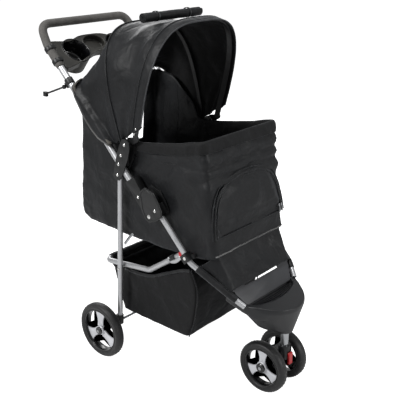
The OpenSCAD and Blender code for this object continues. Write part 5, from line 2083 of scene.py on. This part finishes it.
@dataclass
class Basket:
    """The fabric basket under the cabin, hung from its U-shaped tube."""

    half: float = 146.0
    floor_z: float = 139.0
    corner: float = 12.0
    counts: tuple[int, int, int] = (26, 4, 34)
    levels: int = 30
    front: tuple = ((137, -287), (184, -305), (228, -314), (261, -319), (297, -318), (324, -308), (346, -297))
    rear: tuple = ((137, -22), (180, -6), (230, 8), (262, 15), (276, 17))
    rim: tuple = ((-297, 346), (-262, 336), (-204, 309), (-145, 283), (-83, 275), (-40, 276), (17, 277))

    def walls(self) -> Piece:
        """Walls and floor in one sheet, folded at the bottom and sagging in the middle."""
        rows = []

        def line_at(z: float, inset: float = 0.0) -> list[tuple]:
            """The wall's line at a height, inset from the cloth."""
            return ring(
                self.half - inset, along(self.front, z) + inset, along(self.rear, z) - inset, self.corner, self.counts
            )

        tops = [along(self.rim, y) for _, y, _, _ in ring(self.half, -297, 17, self.corner, self.counts)]
        for j in range(self.levels + 1):
            t = 1 - j / self.levels
            row = []
            for i, top in enumerate(tops):
                z = mix(self.floor_z, top, t)
                x, y, nx, ny = line_at(z)[i]
                spot = at(x, y, z)
                move = 2.0 * wave(spot, 80, 11) + 1.8 * fold(spot, 52, 12) - 2.0
                fan = sin(8 * atan2(z - 290, y + 40) + wave(spot, 70, 2)) * exp(-hypot(y + 40, z - 290) / 120)
                move += 2.0 * fan - 5.0 * sin(pi * t) * (0.4 if abs(nx) > 0.7 else 1.0)
                row.append(spot + Vector((nx, ny, 0)) * min(move, 0.4) * MM)
            rows.append(row)
        for inset, sink in ((3, 0.8), (12, 0.2), (50, 1.6), (90, 2.4), (125, 2.8)):
            row = []
            for x, y, _, _ in line_at(self.floor_z, inset):
                spot = at(x, y, 140.0 - sink)
                row.append(spot + UP * 0.8 * wave(spot, 50, 7) * MM)
            rows.append(row)
        rows.append([at(0, -155 + (y + 155) * 0.02, 138) for _, y, _, _ in line_at(self.floor_z, 125)])
        basket = sheet_of("basket_shown", rows, CLOTH, True)
        return thicken(basket, 2.2, inward_side(basket, at(0, -150, 220)), LINING)

    def build(self) -> None:
        """Makes the basket, its sleeve and its seams."""
        basket = outward(self.walls())
        soft(basket, "basket_body", "basket_frame")
        crumple_on_fold(basket, 280)
        bar, across = (32.0, 286.4), range(-134, 135, 4)
        line = [at(x, *bar) for x in across]
        sleeve = sweep("basket_sleeve_shown", line, round_section(10.6, 20), CLOTH, UP)
        for vertex in sleeve.data.vertices:
            off = Vector((0, *(vertex.co - line[0]).yz))
            if off.length > 2 * MM:
                vertex.co += off.normalized() * (1.1 * wave(vertex.co, 24, 5) + 0.8 * fold(vertex.co, 30, 6)) * MM
        skirt = []
        for j in range(7):
            t = j / 6
            skirt.append(
                [
                    at(x, mix(38, 17, t), mix(276, 258, t)) + Vector((0, wave(at(x, 0, 9 * j), 40, 8) * 0.002, 0))
                    for x in across
                ]
            )
        apron = thicken(sheet_of("basket_apron", skirt, CLOTH), 2.0, 0)
        edges = []
        for side in (LEFT, RIGHT):
            points = [(y + (6 if y > -20 else 0), z) for y, z in self.rim if y < 10]
            edges.append(
                sweep(
                    "rim", smooth_path([at(side * (self.half - 1.2), y, z) for y, z in points], 5),
                    tape_section(9, 3.4), TAPE, Vector((side, 0, 0))
                )
            )
            front = [at(side * (self.half - 4), y - 1, z) for z, y in self.front]
            edges.append(sweep("front", smooth_path(front, 5), round_section(1.6, 8), TAPE, Vector((side, 0, 0))))
        seams = join("basket_seams", edges)
        fit(sleeve, "fabric", "basket_frame", "basket_sleeve")
        for piece in (seams, apron):
            fit(piece, "fabric", "basket_frame")
        crumple_on_fold(seams, 280)


def build_cushion() -> Piece:
    """The floor cushion: a quilted pad, filled by cloth simulation."""
    half, front, rear, low, high = 138.0, -366.0, 90.0, 417.5, 433.0
    # Quilting lines: two lengthways and the rest across; each is pinned over a narrow band above the level.
    stitch_x, pitch, pinned, level = 46, 114, 3.2, 424
    outline = [(x, y) for x, y, _, _ in ring(half, front, rear, 22, (8, 4, 12))]
    pad = plate("floor_cushion_shown", outline, high - low, lambda a, b, c: at(a, b, low + c), PAD, 3.0)
    modify(pad, "REMESH", mode="VOXEL", voxel_size=6 * MM)
    settle(pad)
    pins = [0.0] * len(pad.data.vertices)
    for i, vertex in enumerate(pad.data.vertices):
        x, y = vertex.co.x / MM, vertex.co.y / MM - AXLE_SHIFT
        if vertex.co.z > level * MM and min(abs(abs(x) - stitch_x), abs((y - front) % pitch - pitch / 2)) < pinned:
            pins[i] = 1.0
    Filling().swell(pad, pins)
    for vertex in pad.data.vertices:
        vertex.co.z = max(vertex.co.z, (low - 0.6) * MM)
    subdivide(pad)
    return fit(pad, "fabric", "front_frame", "floor_cushion")


def build_strap() -> Piece:
    """Thin straps from the cabin's floor to the rear legs."""
    parts = []
    for side in (LEFT, RIGHT):
        line = [
            at(side * 166, -66, 368), at(side * 163, -74, 381), at(side * 158, -84, 396), at(side * 150, -95, 409)
        ]
        parts.append(sweep("strap", smooth_path(line, 3), tape_section(9, 1.4), ROD, Vector((side, 0, 0))))
    return fit(join("floor_straps", parts), "fabric", "front_frame")


# --------------------------------------------------------------------------- assembly


@dataclass
class Stroller:
    """The whole stroller: its sub-assemblies, each made by its own step."""

    steps: list[tuple[str, Callable[[], object]]] = field(default_factory=list)

    def __post_init__(self) -> None:
        """Lists the steps in the order in which they are made."""
        cabin = Cabin()
        self.steps = [
            ("tubes", build_tubes), ("small mouldings", build_shown), ("wheels", build_wheels),
            ("lock contours", lambda: [LockTrim(side).build() for side in (LEFT, RIGHT)]),
            ("parent tray", ParentTray().build), ("foam grip", build_grip), ("nose tray", NoseTray().build),
            ("rail sleeves", build_rail_sleeves), ("basket links", build_links), ("tab rivets", build_dots),
            ("cabin", cabin.build), ("front door", Door(cabin).build), ("foot panel", build_foot_panel),
            ("hood", Hood().build), ("basket", Basket().build), ("floor cushion", build_cushion),
            ("straps", build_strap)
        ]

    def build(self) -> None:
        """Makes every step's pieces and logs how many there are."""
        for name, step in self.steps:
            before = len(bpy.data.objects)
            step()
            LOG.info("%s: %d pieces", name, len(bpy.data.objects) - before)


def main() -> None:
    """Builds the studio and the stroller."""
    logging.basicConfig(level=logging.INFO)
    Studio().build()
    Stroller().build()


if __name__ == "__main__":
    main()
